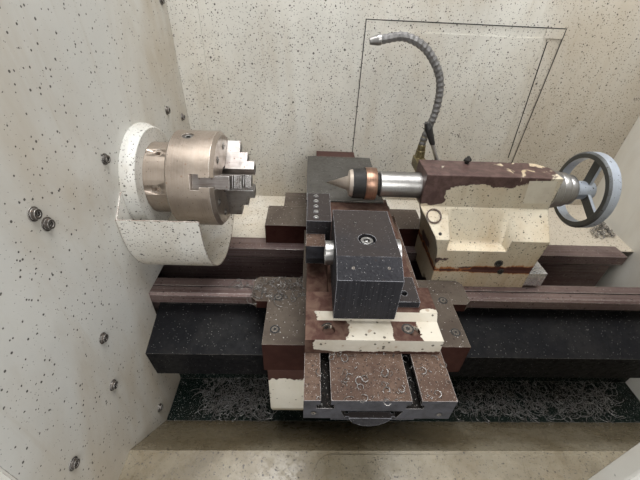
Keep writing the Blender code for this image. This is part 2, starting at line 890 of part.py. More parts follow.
def rounded_rectangle(left, right, low, high, radius, steps=5):
    centres = (
        (right - radius, high - radius, 0),
        (left + radius, high - radius, 1),
        (left + radius, low + radius, 2),
        (right - radius, low + radius, 3),
    )
    points = []
    for x, y, quarter in centres:
        for i in range(steps):
            angle = (quarter + i / (steps - 1)) * pi / 2
            points.append((x + radius * cos(angle), y + radius * sin(angle)))
    return points


def door(name, closing_edge, far_edge):
    """A sliding door with a round post on its closing edge and a window."""
    side = 1 if far_edge > closing_edge else -1
    back = ahead(DOOR_PLANE)
    front = back - DOOR_THICKNESS
    nose = [(0, 0)]
    for i in range(POST_STEPS + 1):
        angle = pi / 2 * i / POST_STEPS
        x = POST_WIDTH / 2 * (1 - cos(angle))
        nose.append((x, DOOR_THICKNESS + (POST_DEPTH - DOOR_THICKNESS) * sin(angle)))
    nose += [
        (POST_WIDTH, POST_DEPTH),
        (POST_WIDTH, DOOR_THICKNESS),
        (abs(far_edge - closing_edge), DOOR_THICKNESS),
        (abs(far_edge - closing_edge), 0),
    ]
    outline = [(closing_edge + side * x, back - y) for x, y in nose]
    low = below(SILL_DROP) + GAP
    top = HEIGHT - RAIL_HEIGHT - GAP
    leaf = prism(name, outline, "Z", low, top, cream())
    x = sorted((closing_edge + side * POST_WIDTH, far_edge))
    y = (front + RAIL_WALL, back - RAIL_WALL)
    join(leaf, box("runner", x, y, (top - OVERRUN, top + DOOR_TOP_ENGAGE)))
    left = min(closing_edge, far_edge) + WINDOW_MARGIN
    right = max(closing_edge, far_edge) - WINDOW_MARGIN
    high = top - WINDOW_TOP_MARGIN
    hole = rounded_rectangle(left, right, high - WINDOW_HEIGHT, high, WINDOW_RADIUS)
    cut(leaf, prism("window_hole", hole, "Y", front - POST_DEPTH, back + OVERRUN))
    inner = (left + GAP, right - GAP, high - WINDOW_HEIGHT + GAP, high - GAP)
    pane = rounded_rectangle(*inner, WINDOW_RADIUS)
    middle = (front + back) / 2
    glass = paint("door_glass", (0.75, 0.80, 0.78), 0.1)
    prism(name + "_window", pane, "Y", middle - GLASS / 2, middle + GLASS / 2, glass)
    return leaf


def spindle_collar():
    """The stepped cream ring round the spindle nose; the spindle runs in its bore."""
    inner = NOSE_RADIUS + GAP
    lip = COLLAR_LENGTH - COLLAR_STEP
    profile = [
        (0, inner),
        (0, COLLAR_ROOT_RADIUS),
        (lip - COLLAR_STEP_DEPTH, COLLAR_ROOT_RADIUS),
        (lip, COLLAR_ROOT_RADIUS - COLLAR_STEP_DEPTH),
        (COLLAR_LENGTH - COLLAR_STEP_DEPTH / 2, COLLAR_FACE_RADIUS),
        (COLLAR_LENGTH, COLLAR_FACE_RADIUS - COLLAR_STEP_DEPTH / 2),
        (COLLAR_LENGTH, inner),
    ]
    return turned("spindle_collar", profile, (FACE + GAP, AY, AZ), "X", cream())


def guard_line(radius, steps=18):
    """The U of the chuck guard: (y, z) from the front top edge round to the rear one."""
    centre = below(GUARD_DROP)
    line = [(AY - radius, below(GUARD_TOP_DROP))]
    for i in range(steps + 1):
        angle = pi + pi * i / steps
        line.append((AY + radius * cos(angle), centre + radius * sin(angle)))
    line.append((AY + radius, below(GUARD_TOP_REAR_DROP)))
    return line


def chuck_guard():
    """A trough of sheet under the chuck with a back plate that clears the collar."""
    outer = guard_line(GUARD_RADIUS)
    inner = guard_line(GUARD_RADIUS - SHEET)
    outline = outer + inner[::-1]
    guard = prism("chuck_guard", outline, "X", FACE + GAP, FACE + GAP + GUARD_LENGTH, cream())
    plate = guard_line(GUARD_RADIUS - SHEET / 2)
    neck = AZ + GUARD_NECK
    reach = COLLAR_ROOT_RADIUS + SHEET
    plate += [(AY + reach, neck), (AY - reach, neck)]
    back = prism("guard_back", plate, "X", FACE + GAP, FACE + GAP + SHEET)
    join(guard, back)
    start, end = (FACE - OVERRUN, AY, AZ), (FACE + OVERRUN, AY, AZ)
    return cut(guard, rod("collar_hole", COLLAR_ROOT_RADIUS + GAP, start, end, steps=ROUND))


def headstock_casting():
    """The headstock: a chamfered block that stands on the bed, bored for the spindle."""
    low = below(BED_DROP) + GAP
    half, top, chamfer = CASTING_HALF_WIDTH, AZ + CASTING_TOP, CASTING_CHAMFER
    outline = [
        (ahead(FRONT_WAY_OUTER), low),
        (AY + REAR_WAY_OUTER, low),
        (AY + half, AZ - half),
        (AY + half, top - chamfer),
        (AY + half - chamfer, top),
        (AY - half + chamfer, top),
        (AY - half, top - chamfer),
        (AY - half, AZ - half),
    ]
    end = FACE - CASTING_START
    casting = prism("headstock_casting", outline, "X", end - CASTING_LENGTH, end, rusted())
    start, stop = (end - CASTING_LENGTH - OVERRUN, AY, AZ), (end + OVERRUN, AY, AZ)
    return cut(casting, rod("headstock_bore", SPINDLE_RADIUS + GAP, start, stop, steps=ROUND))


def spindle():
    """The hollow spindle with its cam-lock nose: six cams, each a ringed disc with a square socket."""
    shoulder = COLLAR_LENGTH - OVERRUN * 2
    profile = [
        (-SPINDLE_TAIL, SPINDLE_BORE),
        (-SPINDLE_TAIL, SPINDLE_RADIUS),
        (shoulder, SPINDLE_RADIUS),
        (shoulder, NOSE_RADIUS),
        (NOSE_END, NOSE_RADIUS),
        (NOSE_END, SPINDLE_BORE),
    ]
    shaft = turned("spindle", profile, (FACE, AY, AZ), "X", gunmetal())
    middle = Vector((FACE + CAM_PLANE, AY, AZ))
    half = CAM_SOCKET / 2
    square = [(-half, -half), (half, -half), (half, half), (-half, half)]
    for i in range(CAM_COUNT):
        angle = CAM_ANGLE + 2 * pi * i / CAM_COUNT
        out = Vector((0, -cos(angle), sin(angle)))
        start = middle + out * (NOSE_RADIUS - CAM_RING_DEPTH)
        end = middle + out * (NOSE_RADIUS + OVERRUN)
        cut(shaft, rod("cam_well", CAM_RADIUS, start, end, steps=ROUND_TINY))
        deep, over = NOSE_RADIUS - CAM_DEPTH, NOSE_RADIUS + OVERRUN
        socket = prism("cam_socket", square, "Z", deep, over)
        socket.matrix_basis = radial_frame(middle, out)
        cut(shaft, socket)
    return shaft


def pulley(name, x, y, z, radius, bore, material):
    """A flanged pulley bored for its shaft."""
    rim, flange, width = radius, radius + PULLEY_FLANGE, PULLEY_WIDTH
    profile = [
        (0, bore),
        (0, flange),
        (PULLEY_FLANGE_WIDTH, flange),
        (PULLEY_FLANGE_WIDTH, rim),
        (width - PULLEY_FLANGE_WIDTH, rim),
        (width - PULLEY_FLANGE_WIDTH, flange),
        (width, flange),
        (width, bore),
    ]
    return turned(name, profile, (x, y, z), "X", material)


def belt_line(offset):
    """The belt's path round both pulleys at an offset from their rims: (y, z) points."""
    heading = atan2(-MOTOR_DROP, MOTOR_REACH)
    spread = acos((PULLEY_RADIUS - MOTOR_PULLEY_RADIUS) / hypot(MOTOR_REACH, MOTOR_DROP))
    motor = (AY + MOTOR_REACH, below(MOTOR_DROP))
    wraps = (
        ((AY, AZ), PULLEY_RADIUS, heading + spread, 2 * pi - 2 * spread),
        (motor, MOTOR_PULLEY_RADIUS, heading - spread, 2 * spread),
    )
    line = []
    for (y, z), rim, start, sweep in wraps:
        radius = (rim + offset) / cos(sweep / BELT_STEPS / 2)
        for i in range(BELT_STEPS + 1):
            angle = start + sweep * i / BELT_STEPS
            line.append((y + radius * cos(angle), z + radius * sin(angle)))
    return line


def drive_belt(x):
    low, high = x + PULLEY_FLANGE_WIDTH + GAP, x + PULLEY_WIDTH - PULLEY_FLANGE_WIDTH - GAP
    belt = prism("drive_belt", belt_line(GAP + BELT_THICKNESS), "X", low, high, rubber())
    hole = prism("belt_hole", belt_line(GAP), "X", low - OVERRUN, high + OVERRUN)
    return cut(belt, hole)


def spindle_motor(pulley_x):
    """The main motor, with a foot that stands on the base and the shaft that carries its pulley."""
    y, z = AY + MOTOR_REACH, below(MOTOR_DROP)
    start = pulley_x + PULLEY_WIDTH + OVERRUN
    end = FACE - MOTOR_START
    profile = [
        (0, 0),
        (0, MOTOR_RADIUS),
        (end - start - MOTOR_FLANGE, MOTOR_RADIUS),
        (end - start, MOTOR_RADIUS - MOTOR_FLANGE),
        (end - start, 0),
    ]
    motor = turned("spindle_motor", profile, (start, y, z), "X", black(), closed=False)
    low = below(TRAY_DROP) - SHEET
    width = MOTOR_RADIUS - MOTOR_FLANGE
    x = (start + MOTOR_FLANGE, end - MOTOR_RADIUS)
    join(motor, box("motor_foot", x, (y - width, y + width), (low, z)))
    return motor


def motor_shaft_and_pulley(x):
    """The motor's pulley turned in one with its shaft end."""
    y, z = AY + MOTOR_REACH, below(MOTOR_DROP)
    gap = OVERRUN - GAP
    rim, flange, width = MOTOR_PULLEY_RADIUS, MOTOR_PULLEY_RADIUS + PULLEY_FLANGE, PULLEY_WIDTH
    profile = [
        (0, 0),
        (0, flange),
        (PULLEY_FLANGE_WIDTH, flange),
        (PULLEY_FLANGE_WIDTH, rim),
        (width - PULLEY_FLANGE_WIDTH, rim),
        (width - PULLEY_FLANGE_WIDTH, flange),
        (width, flange),
        (width, MOTOR_SHAFT),
        (width + gap, MOTOR_SHAFT),
        (width + gap, 0),
    ]
    return turned("motor_pulley", profile, (x, y, z), "X", gunmetal(), ROUND_SMALL, closed=False)


def chuck_directions(offset=0.0):
    """The jaws' directions round the spindle: unit vectors out from the axis, with their angles."""
    for i in range(JAW_COUNT):
        angle = CHUCK_ANGLE + offset + 2 * pi * i / JAW_COUNT
        yield i + 1, Vector((0, -cos(angle), sin(angle)))


def radial_frame(origin, out):
    """A frame whose X is the spindle's, whose Z points out from it, and whose Y runs across."""
    along = Vector((1, 0, 0))
    across = out.cross(along)
    turn = Matrix((along, across, out)).transposed().to_4x4()
    return Matrix.Translation(origin) @ turn


def chuck_body():
    """The chuck's body: scroll room at the back, three T-slots for the jaws and three pinion bores."""
    x = FACE + NOSE_END + GAP
    room = SCROLL_BACK + SCROLL_THICKNESS + GAP
    seat = room + GAP
    profile = [
        (0, SCROLL_RADIUS + GAP),
        (0, CHUCK_RADIUS - CHUCK_CHAMFER / 2),
        (CHUCK_CHAMFER / 2, CHUCK_RADIUS),
        (CHUCK_LENGTH - CHUCK_CHAMFER, CHUCK_RADIUS),
        (CHUCK_LENGTH, CHUCK_RADIUS - CHUCK_CHAMFER),
        (CHUCK_LENGTH, CHUCK_BORE),
        (0, CHUCK_BORE),
        (0, SCROLL_BORE - GAP),
        (room, SCROLL_BORE - GAP),
        (room, SCROLL_RADIUS + GAP),
    ]
    body = turned("chuck_body", profile, (x, AY, AZ), "X", rusted(), steps=ROUND_LARGE)
    centre = Vector((x, AY, AZ))
    for number, out in chuck_directions():
        frame = radial_frame(centre, out)
        inner, outer = CHUCK_BORE / 2, CHUCK_RADIUS + OVERRUN
        neck, base = JAW_NECK / 2 + GAP, JAW_BASE / 2 + GAP
        shoulder = seat + JAW_BASE_HEIGHT + GAP
        outline = [
            (room - GAP, -base),
            (shoulder, -base),
            (shoulder, -neck),
            (CHUCK_LENGTH + OVERRUN, -neck),
            (CHUCK_LENGTH + OVERRUN, neck),
            (shoulder, neck),
            (shoulder, base),
            (room - GAP, base),
        ]
        slot = prism("jaw_slot", outline, "Z", inner, outer)
        slot.matrix_basis = frame
        cut(body, slot)
    for number, out in chuck_directions(pi / JAW_COUNT):
        middle = centre + Vector((PINION_BACK, 0, 0))
        start, end = middle + out * (SCROLL_RADIUS - OVERRUN), middle + out * (CHUCK_RADIUS + OVERRUN)
        cut(body, rod("pinion_bore", PINION_RADIUS + GAP, start, end))
    return body


def scroll():
    x = FACE + NOSE_END + GAP + SCROLL_BACK
    profile = [
        (0, SCROLL_BORE),
        (0, SCROLL_RADIUS),
        (SCROLL_THICKNESS, SCROLL_RADIUS),
        (SCROLL_THICKNESS, SCROLL_BORE),
    ]
    return turned("chuck_scroll", profile, (x, AY, AZ), "X", ground())


def pinion(number, out):
    """A key pinion in the chuck's wall, with the square socket that the chuck key fits."""
    middle = Vector((FACE + NOSE_END + GAP + PINION_BACK, AY, AZ))
    start = SCROLL_RADIUS + 2 * GAP
    length = CHUCK_RADIUS - PINION_INSET - start
    profile = [
        (0, 0),
        (0, PINION_RADIUS),
        (length, PINION_RADIUS),
        (length, 0),
    ]
    gear = turned(f"key_pinion_{number}", profile, middle + out * start, out, ground(), ROUND_SMALL, False)
    half = PINION_SQUARE / 2
    top = start + length
    square = [(-half, -half), (half, -half), (half, half), (-half, half)]
    hole = prism("key_socket", square, "Z", top - PINION_SOCKET, top + OVERRUN)
    hole.matrix_basis = radial_frame(middle, out)
    return cut(gear, hole)


def jaw_side():
    """A jaw from the side: (along the spindle, out from it), with the toothed steps of its grip."""
    floor = SCROLL_BACK + SCROLL_THICKNESS + 2 * GAP
    face = CHUCK_LENGTH
    inner = JAW_INNER
    outline = [(floor, inner + JAW_LENGTH), (floor, inner)]
    top = face + JAW_STEP_HEIGHTS[-1]
    outline.append((top, inner))
    levels = list(zip(JAW_STEP_HEIGHTS, JAW_STEP_LENGTHS))[::-1]
    for i, (height, length) in enumerate(levels):
        low = levels[i + 1][0] if i + 1 < len(levels) else 0.0
        riser = inner + length
        outline.append((face + height, riser))
        if i + 1 < len(levels):
            pitch = (height - low) / JAW_TEETH
            for tooth in range(1, JAW_TEETH):
                level = face + height - pitch * tooth
                outline.append((level + pitch / 2, riser - JAW_TOOTH))
                outline.append((level, riser))
            outline.append((face + low, riser - JAW_TOOTH))
    return outline


def chuck_jaw(number, out):
    """A hard jaw: a T-shaped base in the chuck's slot and a stepped, toothed top outside it."""
    origin = Vector((FACE + NOSE_END + GAP, AY, AZ))
    outline = jaw_side()
    jaw = prism(f"chuck_jaw_{number}", outline, "Y", -JAW_WIDTH_OUT / 2, JAW_WIDTH_OUT / 2, ground())
    frame = radial_frame(origin, out)
    jaw.matrix_basis = frame
    floor = SCROLL_BACK + SCROLL_THICKNESS + 2 * GAP
    shoulder = floor + JAW_BASE_HEIGHT
    low, high = JAW_INNER - OVERRUN, JAW_INNER + JAW_LENGTH + OVERRUN
    wide = JAW_BASE / 2 + OVERRUN
    for side in (-1, 1):
        neck = [(shoulder, JAW_NECK / 2), (CHUCK_LENGTH + GAP, JAW_NECK / 2), (CHUCK_LENGTH + GAP, wide)]
        outline = [(x, side * y) for x, y in neck + [(shoulder, wide)]]
        side_cut = prism("jaw_neck_cut", outline, "Z", low, high)
        side_cut.matrix_basis = frame
        cut(jaw, side_cut)
    half = JAW_BASE / 2
    base = [(floor, -half), (shoulder, -half), (shoulder, half), (floor, half)]
    foot = prism("jaw_base", base, "Z", JAW_INNER, JAW_INNER + JAW_LENGTH)
    foot.matrix_basis = frame
    return join(jaw, foot)


def screw_cover():
    """The folded black cover over the leadscrew: a flange on the bed, a sloped top and a front."""
    sheet = COVER_SHEET
    back = ahead(BED_FRONT_WALL) - GAP
    outline = [
        (back - sheet, below(COVER_REAR_DROP) + COVER_FLANGE),
        (back - sheet, below(COVER_REAR_DROP)),
        (ahead(COVER_FRONT_REACH), below(COVER_FRONT_DROP)),
        (ahead(COVER_LOW_REACH), below(COVER_LOW_DROP)),
        (ahead(COVER_LOW_REACH) + sheet, below(COVER_LOW_DROP)),
        (ahead(COVER_FRONT_REACH) + sheet, below(COVER_FRONT_DROP) - sheet),
        (back, below(COVER_REAR_DROP) - sheet),
        (back, below(COVER_REAR_DROP) + COVER_FLANGE),
    ]
    return prism("screw_cover", outline, "X", FACE + GAP, FACE + BED_END, black())


def z_screw():
    y, z = ahead(Z_SCREW_REACH), below(Z_SCREW_DROP)
    start = FACE - SHEET - OVERRUN
    return rod("bed_leadscrew", Z_SCREW_RADIUS, (start, y, z), (FACE + Z_SCREW_END, y, z), bright())


def slide_x(offset):
    """X at an offset from the cross slide's left edge."""
    return FACE + SLIDE_LEFT + offset


def saddle():
    """The saddle: a cross guide with its dovetail, two front wings, rear wings and ears on the ways."""
    low, bridge, guide = below(BED_DROP) + GAP, below(WING_DROP), below(SADDLE_TOP_DROP)
    left, right = slide_x(-BRIDGE_LEFT), slide_x(SLIDE_WIDTH + BRIDGE_RIGHT)
    middle = slide_x(X_SCREW_OFFSET)
    rail = guide + DOVETAIL_HEIGHT
    flared = DOVETAIL_HALF + DOVETAIL_FLARE
    channel = below(X_SCREW_DROP) - X_CHANNEL_DEPTH
    section = [
        (left, low),
        (right, low),
        (right, bridge),
        (slide_x(GUIDE_START + GUIDE_WIDTH), bridge),
        (slide_x(GUIDE_START + GUIDE_WIDTH), guide),
        (middle + DOVETAIL_HALF, guide),
        (middle + flared, rail),
        (middle + X_CHANNEL_HALF, rail),
        (middle + X_CHANNEL_HALF, channel),
        (middle - X_CHANNEL_HALF, channel),
        (middle - X_CHANNEL_HALF, rail),
        (middle - flared, rail),
        (middle - DOVETAIL_HALF, guide),
        (slide_x(GUIDE_START), guide),
        (slide_x(GUIDE_START), bridge),
        (left, bridge),
    ]
    body = prism("saddle", section, "Y", ahead(WING_FRONT_REACH), AY + SADDLE_REAR, rusted())
    y = (ahead(WING_FRONT_REACH), ahead(WING_REAR_REACH))
    x = (slide_x(-WING_LEFT), slide_x(SLIDE_WIDTH + WING_RIGHT))
    wings = box("front_wings", x, y, (below(WING_BOTTOM_DROP), bridge))
    join(body, wings)
    left, right = slide_x(-EXT_LEFT), slide_x(SLIDE_WIDTH + EXT_RIGHT)
    inner, outer = ahead(EXT_INNER_REACH), ahead(WING_REAR_REACH) - OVERRUN
    corner = EXT_CORNER
    ears = [
        (left, outer + corner),
        (left + corner, outer),
        (right - corner, outer),
        (right, outer + corner),
        (right, inner - corner),
        (right - corner, inner),
        (left + corner, inner),
        (left, inner - corner),
    ]
    join(body, prism("front_ears", ears, "Z", low, below(EXT_DROP)))
    top = below(REAR_WING_DROP)
    under = top - REAR_WING_THICKNESS
    section = [
        (AY + REAR_WING_FRONT, low),
        (AY + REAR_WAY_OUTER, low),
        (AY + REAR_WAY_OUTER, under),
        (AY + REAR_WING_BACK, under),
        (AY + REAR_WING_BACK, top),
        (AY + REAR_WING_FRONT, top),
    ]
    x = (slide_x(-REAR_WING_LEFT), slide_x(SLIDE_WIDTH + REAR_WING_RIGHT))
    join(body, prism("rear_wings", section, "X", *x))
    x = (slide_x(-BOSS_LEFT), slide_x(OVERRUN))
    y = (AY + REAR_WING_BACK - OVERRUN, AY + BOSS_BACK)
    return join(body, box("rear_boss", x, y, (under - BOSS_DROP, top - SHEET)))


def apron():
    """The cream apron in front of the screw cover, with the return under it that carries the nut."""
    bottom = below(APRON_BOTTOM_DROP)
    top = below(WING_BOTTOM_DROP) - GAP
    nut_front = ahead(Z_SCREW_REACH + NUT_HALF_WIDTH)
    nut_back = ahead(Z_SCREW_REACH - NUT_HALF_WIDTH)
    outline = [
        (ahead(WING_FRONT_REACH), top),
        (ahead(WING_FRONT_REACH), below(APRON_KNEE_DROP)),
        (ahead(APRON_LOW_REACH), bottom),
        (nut_back, bottom),
        (nut_back, bottom + APRON_RETURN),
        (ahead(APRON_BACK_REACH), bottom + APRON_RETURN),
        (ahead(APRON_BACK_REACH), top),
    ]
    x = (slide_x(-APRON_LEFT), slide_x(SLIDE_WIDTH - APRON_RIGHT))
    plate = prism("apron", outline, "X", *x, cream())
    middle = slide_x(SLIDE_WIDTH / 2)
    nut_x = (middle - NUT_LENGTH / 2, middle + NUT_LENGTH / 2)
    nut = box("screw_nut", nut_x, (nut_front, nut_back), (bottom + SHEET, below(NUT_TOP_DROP)))
    join(plate, nut)
    y, z = ahead(Z_SCREW_REACH), below(Z_SCREW_DROP)
    start, end = (nut_x[0] - OVERRUN, y, z), (nut_x[1] + OVERRUN, y, z)
    return cut(plate, rod("nut_bore", Z_SCREW_RADIUS + GAP, start, end))


def cross_slide():
    """The cross slide: T-slots along its top, a dovetail groove under it and the nut of its screw."""
    top, low = below(TABLE_DROP), below(TABLE_DROP + TABLE_THICKNESS)
    outline = [(slide_x(0), low), (slide_x(0), top)]
    for start in SLOT_STARTS:
        left, right = slide_x(start), slide_x(start + SLOT_WIDTH)
        wing = (SLOT_T_WIDTH - SLOT_WIDTH) / 2
        neck, floor = top - SLOT_NECK, top - SLOT_NECK - SLOT_T_HEIGHT
        outline += [
            (left, top),
            (left, neck),
            (left - wing, neck),
            (left - wing, floor),
            (right + wing, floor),
            (right + wing, neck),
            (right, neck),
            (right, top),
        ]
    middle = slide_x(X_SCREW_OFFSET)
    half, flared = DOVETAIL_HALF + GAP, DOVETAIL_HALF + DOVETAIL_FLARE + GAP
    roof = below(SADDLE_TOP_DROP) + DOVETAIL_HEIGHT + GAP
    outline += [
        (slide_x(SLIDE_WIDTH), top),
        (slide_x(SLIDE_WIDTH), low),
        (middle + half, low),
        (middle + flared, roof),
        (middle - flared, roof),
        (middle - half, low),
    ]
    table = prism("cross_slide", outline, "Y", ahead(TABLE_FRONT), AY + TABLE_REAR, rusted())
    half = NUT_LUG_HALF
    y = (ahead(BORE_REACH) - NUT_LUG_LENGTH / 2, ahead(BORE_REACH) + NUT_LUG_LENGTH / 2)
    axis = below(X_SCREW_DROP)
    z = (axis - X_SCREW_RADIUS - NUT_LUG_WALL, roof + SHEET)
    join(table, box("slide_nut", (middle - half, middle + half), y, z))
    start, end = (middle, y[0] - OVERRUN, axis), (middle, y[1] + OVERRUN, axis)
    return cut(table, rod("slide_nut_bore", X_SCREW_RADIUS + GAP, start, end))


def slide_end_cap():
    """The round cap over the screw's front end with the wiper bar across it."""
    front = ahead(TABLE_FRONT)
    low = below(TABLE_DROP + TABLE_THICKNESS) - GAP
    middle = slide_x(X_SCREW_OFFSET)
    start, end = (middle, front, below(CAP_DROP)), (middle, front + CAP_LENGTH, below(CAP_DROP))
    cap = rod("slide_end_cap", CAP_RADIUS, start, end, gunmetal(), steps=ROUND_SMALL)
    x = (middle - CAP_RADIUS - OVERRUN, middle + CAP_RADIUS + OVERRUN)
    y = (front - OVERRUN, front + CAP_LENGTH + OVERRUN)
    cut(cap, box("cap_flat", x, y, (low, low + CAP_RADIUS * 2)))
    x = (slide_x(TAB_START), slide_x(TAB_START + TAB_WIDTH))
    y = (front + SHEET, front + SHEET + TAB_LENGTH)
    return join(cap, box("wiper_bar", x, y, (low - TAB_DEPTH, low)))


def riser_block():
    """The block bolted over the T-slots: a front ledge with two screws and a pocket on the left."""
    low = below(TABLE_DROP) + GAP
    top = below(RISER_TOP_DROP)
    outline = [
        (ahead(RISER_FRONT), low),
        (ahead(RISER_FRONT), below(RISER_LEDGE_DROP)),
        (ahead(RISER_LEDGE_BACK), below(RISER_LEDGE_DROP)),
        (ahead(RISER_CREST), top),
        (AY + TABLE_REAR, top),
        (AY + TABLE_REAR, low),
    ]
    block = prism("riser_block", outline, "X", slide_x(0), slide_x(RISER_WIDTH), rusted())
    x = (slide_x(-OVERRUN), slide_x(RISER_POCKET_WIDTH))
    y = (ahead(RISER_POCKET_FRONT), ahead(HOLDER_BACK) + GAP)
    cut(block, box("riser_pocket", x, y, (top - RISER_POCKET_DEPTH, top + OVERRUN)))
    x = (slide_x(RISER_WIDTH - RISER_NOTCH_WIDTH), slide_x(RISER_WIDTH + OVERRUN))
    y = (ahead(RISER_NOTCH_FRONT), AY + TABLE_REAR + OVERRUN)
    cut(block, box("riser_notch", x, y, (low - OVERRUN, top + OVERRUN)))
    ledge = below(RISER_LEDGE_DROP)
    y = ahead((RISER_FRONT + RISER_LEDGE_BACK) / 2)
    for start in COUNTERBORE_STARTS:
        bottom = (slide_x(start), y, ledge - COUNTERBORE_DEPTH)
        over = (slide_x(start), y, ledge + OVERRUN)
        cut(block, rod("counterbore", COUNTERBORE_RADIUS, bottom, over, steps=ROUND_TINY))
    return block


def tool_block():
    """The boring tool block: a sloped brow, a cross bore for the sleeve and a well for its bolt."""
    low = below(RISER_TOP_DROP) + GAP
    outline = [
        (ahead(BLOCK_FRONT), low),
        (ahead(BLOCK_FRONT), AZ + BLOCK_BROW),
        (ahead(BLOCK_CREST), AZ + BLOCK_TOP),
        (ahead(BLOCK_BACK), AZ + BLOCK_TOP),
        (ahead(BLOCK_BACK), low),
    ]
    x = (slide_x(BLOCK_START), slide_x(BLOCK_START + BLOCK_WIDTH))
    block = prism("tool_block", outline, "X", *x, gunmetal())
    start, end = (x[0] - OVERRUN, ahead(BORE_REACH), AZ), (x[1] + OVERRUN, ahead(BORE_REACH), AZ)
    cut(block, rod("sleeve_bore", SLEEVE_RADIUS + GAP, start, end, steps=ROUND_SMALL))
    well = slide_x(BLOCK_START + BLOCK_WIDTH * BOLT_WELL_SHARE)
    top = AZ + BLOCK_TOP
    start = (well, ahead(BOLT_WELL_REACH), top - BOLT_WELL_DEPTH)
    end = (well, ahead(BOLT_WELL_REACH), top + OVERRUN)
    return cut(block, rod("bolt_well", BOLT_WELL_RADIUS, start, end, steps=ROUND_SMALL))


def boring_sleeve():
    """The split sleeve through the block, with its bright flange on the tailstock side."""
    left = slide_x(BLOCK_START) - SLEEVE_TAIL
    face = slide_x(BLOCK_START + BLOCK_WIDTH) + GAP
    length = face - left
    profile = [
        (0, SLEEVE_BORE),
        (0, SLEEVE_RADIUS),
        (length, SLEEVE_RADIUS),
        (length, SLEEVE_FLANGE),
        (length + SLEEVE_FLANGE_LENGTH, SLEEVE_FLANGE),
        (length + SLEEVE_FLANGE_LENGTH, SLEEVE_BORE),
    ]
    return turned("boring_sleeve", profile, (left, ahead(BORE_REACH), AZ), "X", bright(), steps=ROUND_SMALL)


def block_clamp():
    """The clamp plate at the block's foot, with its bolt hole."""
    left = slide_x(BLOCK_START + BLOCK_WIDTH) + GAP
    low = below(RISER_TOP_DROP) + GAP
    x, y = (left, left + CLAMP_LENGTH), (ahead(CLAMP_FRONT), ahead(CLAMP_BACK))
    plate = box("block_clamp", x, y, (low, low + CLAMP_THICKNESS), gunmetal())
    middle, back = (x[0] + x[1]) / 2, y[0] + (y[1] - y[0]) / 3
    start, end = (middle, back, low - OVERRUN), (middle, back, low + CLAMP_THICKNESS + OVERRUN)
    return cut(plate, rod("clamp_hole", CLAMP_HOLE, start, end, steps=ROUND_TINY))


def turning_holder():
    """The turning tool holder: a C of steel open on the chuck side, with a row of set screws."""
    top = AZ + HOLDER_TOP
    roof = top - HOLDER_PLATE
    low = below(RISER_TOP_DROP) + GAP
    left, right = slide_x(-HOLDER_LEFT), slide_x(BLOCK_START)
    spine = right - HOLDER_SPINE
    seat = slide_x(RISER_POCKET_WIDTH) + GAP
    outline = [
        (left, roof),
        (spine, roof),
        (spine, low),
        (right, low),
        (right, top),
        (left, top),
    ]
    y = (ahead(HOLDER_FRONT), ahead(HOLDER_BACK))
    holder = prism("turning_holder", outline, "Y", *y, gunmetal())
    pocket = below(RISER_TOP_DROP) - RISER_POCKET_DEPTH + GAP
    base = box("holder_base", (left, spine + SHEET), y, (pocket, roof - SHANK_HEIGHT - 2 * GAP))
    web = box("holder_web", (spine, seat - 2 * GAP), y, (pocket, low + SHEET))
    join(holder, base)
    join(holder, web)
    pitch = (HOLDER_FRONT - HOLDER_BACK - 2 * SET_SCREW_INSET) / (SET_SCREW_COUNT - 1)
    x = (left + spine) / 2
    for i in range(SET_SCREW_COUNT):
        screw_y = ahead(HOLDER_FRONT - SET_SCREW_INSET - i * pitch)
        start, end = (x, screw_y, top - SET_SCREW_DEPTH), (x, screw_y, top + OVERRUN)
        cut(holder, rod("set_screw_well", SET_SCREW_RADIUS, start, end, steps=ROUND_TINY))
    return holder


def tool_shank():
    """The turning tool in its holder, drawn down to a pointed nose towards the work."""
    roof = AZ + HOLDER_TOP - HOLDER_PLATE - GAP
    left = slide_x(-HOLDER_LEFT)
    right = slide_x(BLOCK_START) - HOLDER_SPINE - GAP
    nose = ahead(SHANK_TIP)
    outline = [
        (left, ahead(SHANK_FRONT)),
        (right, ahead(SHANK_FRONT)),
        (right, nose - SHANK_NOSE),
        (left + HOLDER_BASE, nose),
        (left, nose - HOLDER_BASE),
    ]
    return prism("turning_tool", outline, "Z", roof - SHANK_HEIGHT, roof, rusted())


def rear_cover():
    """The dark plate behind the tool block: it lies on the motor box, and the riser slides under it."""
    left = slide_x(-COVER_PLATE_LEFT)
    x = (left, left + COVER_PLATE_WIDTH)
    y = (AY + TABLE_REAR - COVER_PLATE_LAP, AY + COVER_PLATE_BACK)
    low = below(RISER_TOP_DROP) + GAP
    return box("rear_cover", x, y, (low, low + COVER_PLATE_THICKNESS), gunmetal())


def x_motor_box():
    """The cream box behind the saddle with the cross slide's motor; the screw's end sits in it."""
    x = (slide_x(X_BOX_START), slide_x(X_BOX_START + X_BOX_WIDTH))
    y = (AY + SADDLE_REAR + GAP, AY + X_BOX_BACK)
    z = (below(X_BOX_BOTTOM_DROP), below(RISER_TOP_DROP))
    motor = box("cross_motor_box", x, y, z, cream())
    middle, axis = slide_x(X_SCREW_OFFSET), below(X_SCREW_DROP)
    start = (middle, y[0] - OVERRUN, axis)
    end = (middle, y[0] + X_SCREW_ENGAGE + GAP, axis)
    return cut(motor, rod("motor_bore", X_SCREW_RADIUS + GAP, start, end))


def x_screw():
    middle, axis = slide_x(X_SCREW_OFFSET), below(X_SCREW_DROP)
    start = (middle, ahead(X_SCREW_REACH), axis)
    end = (middle, AY + SADDLE_REAR + X_SCREW_ENGAGE, axis)
    return rod("cross_screw", X_SCREW_RADIUS, start, end, bright())


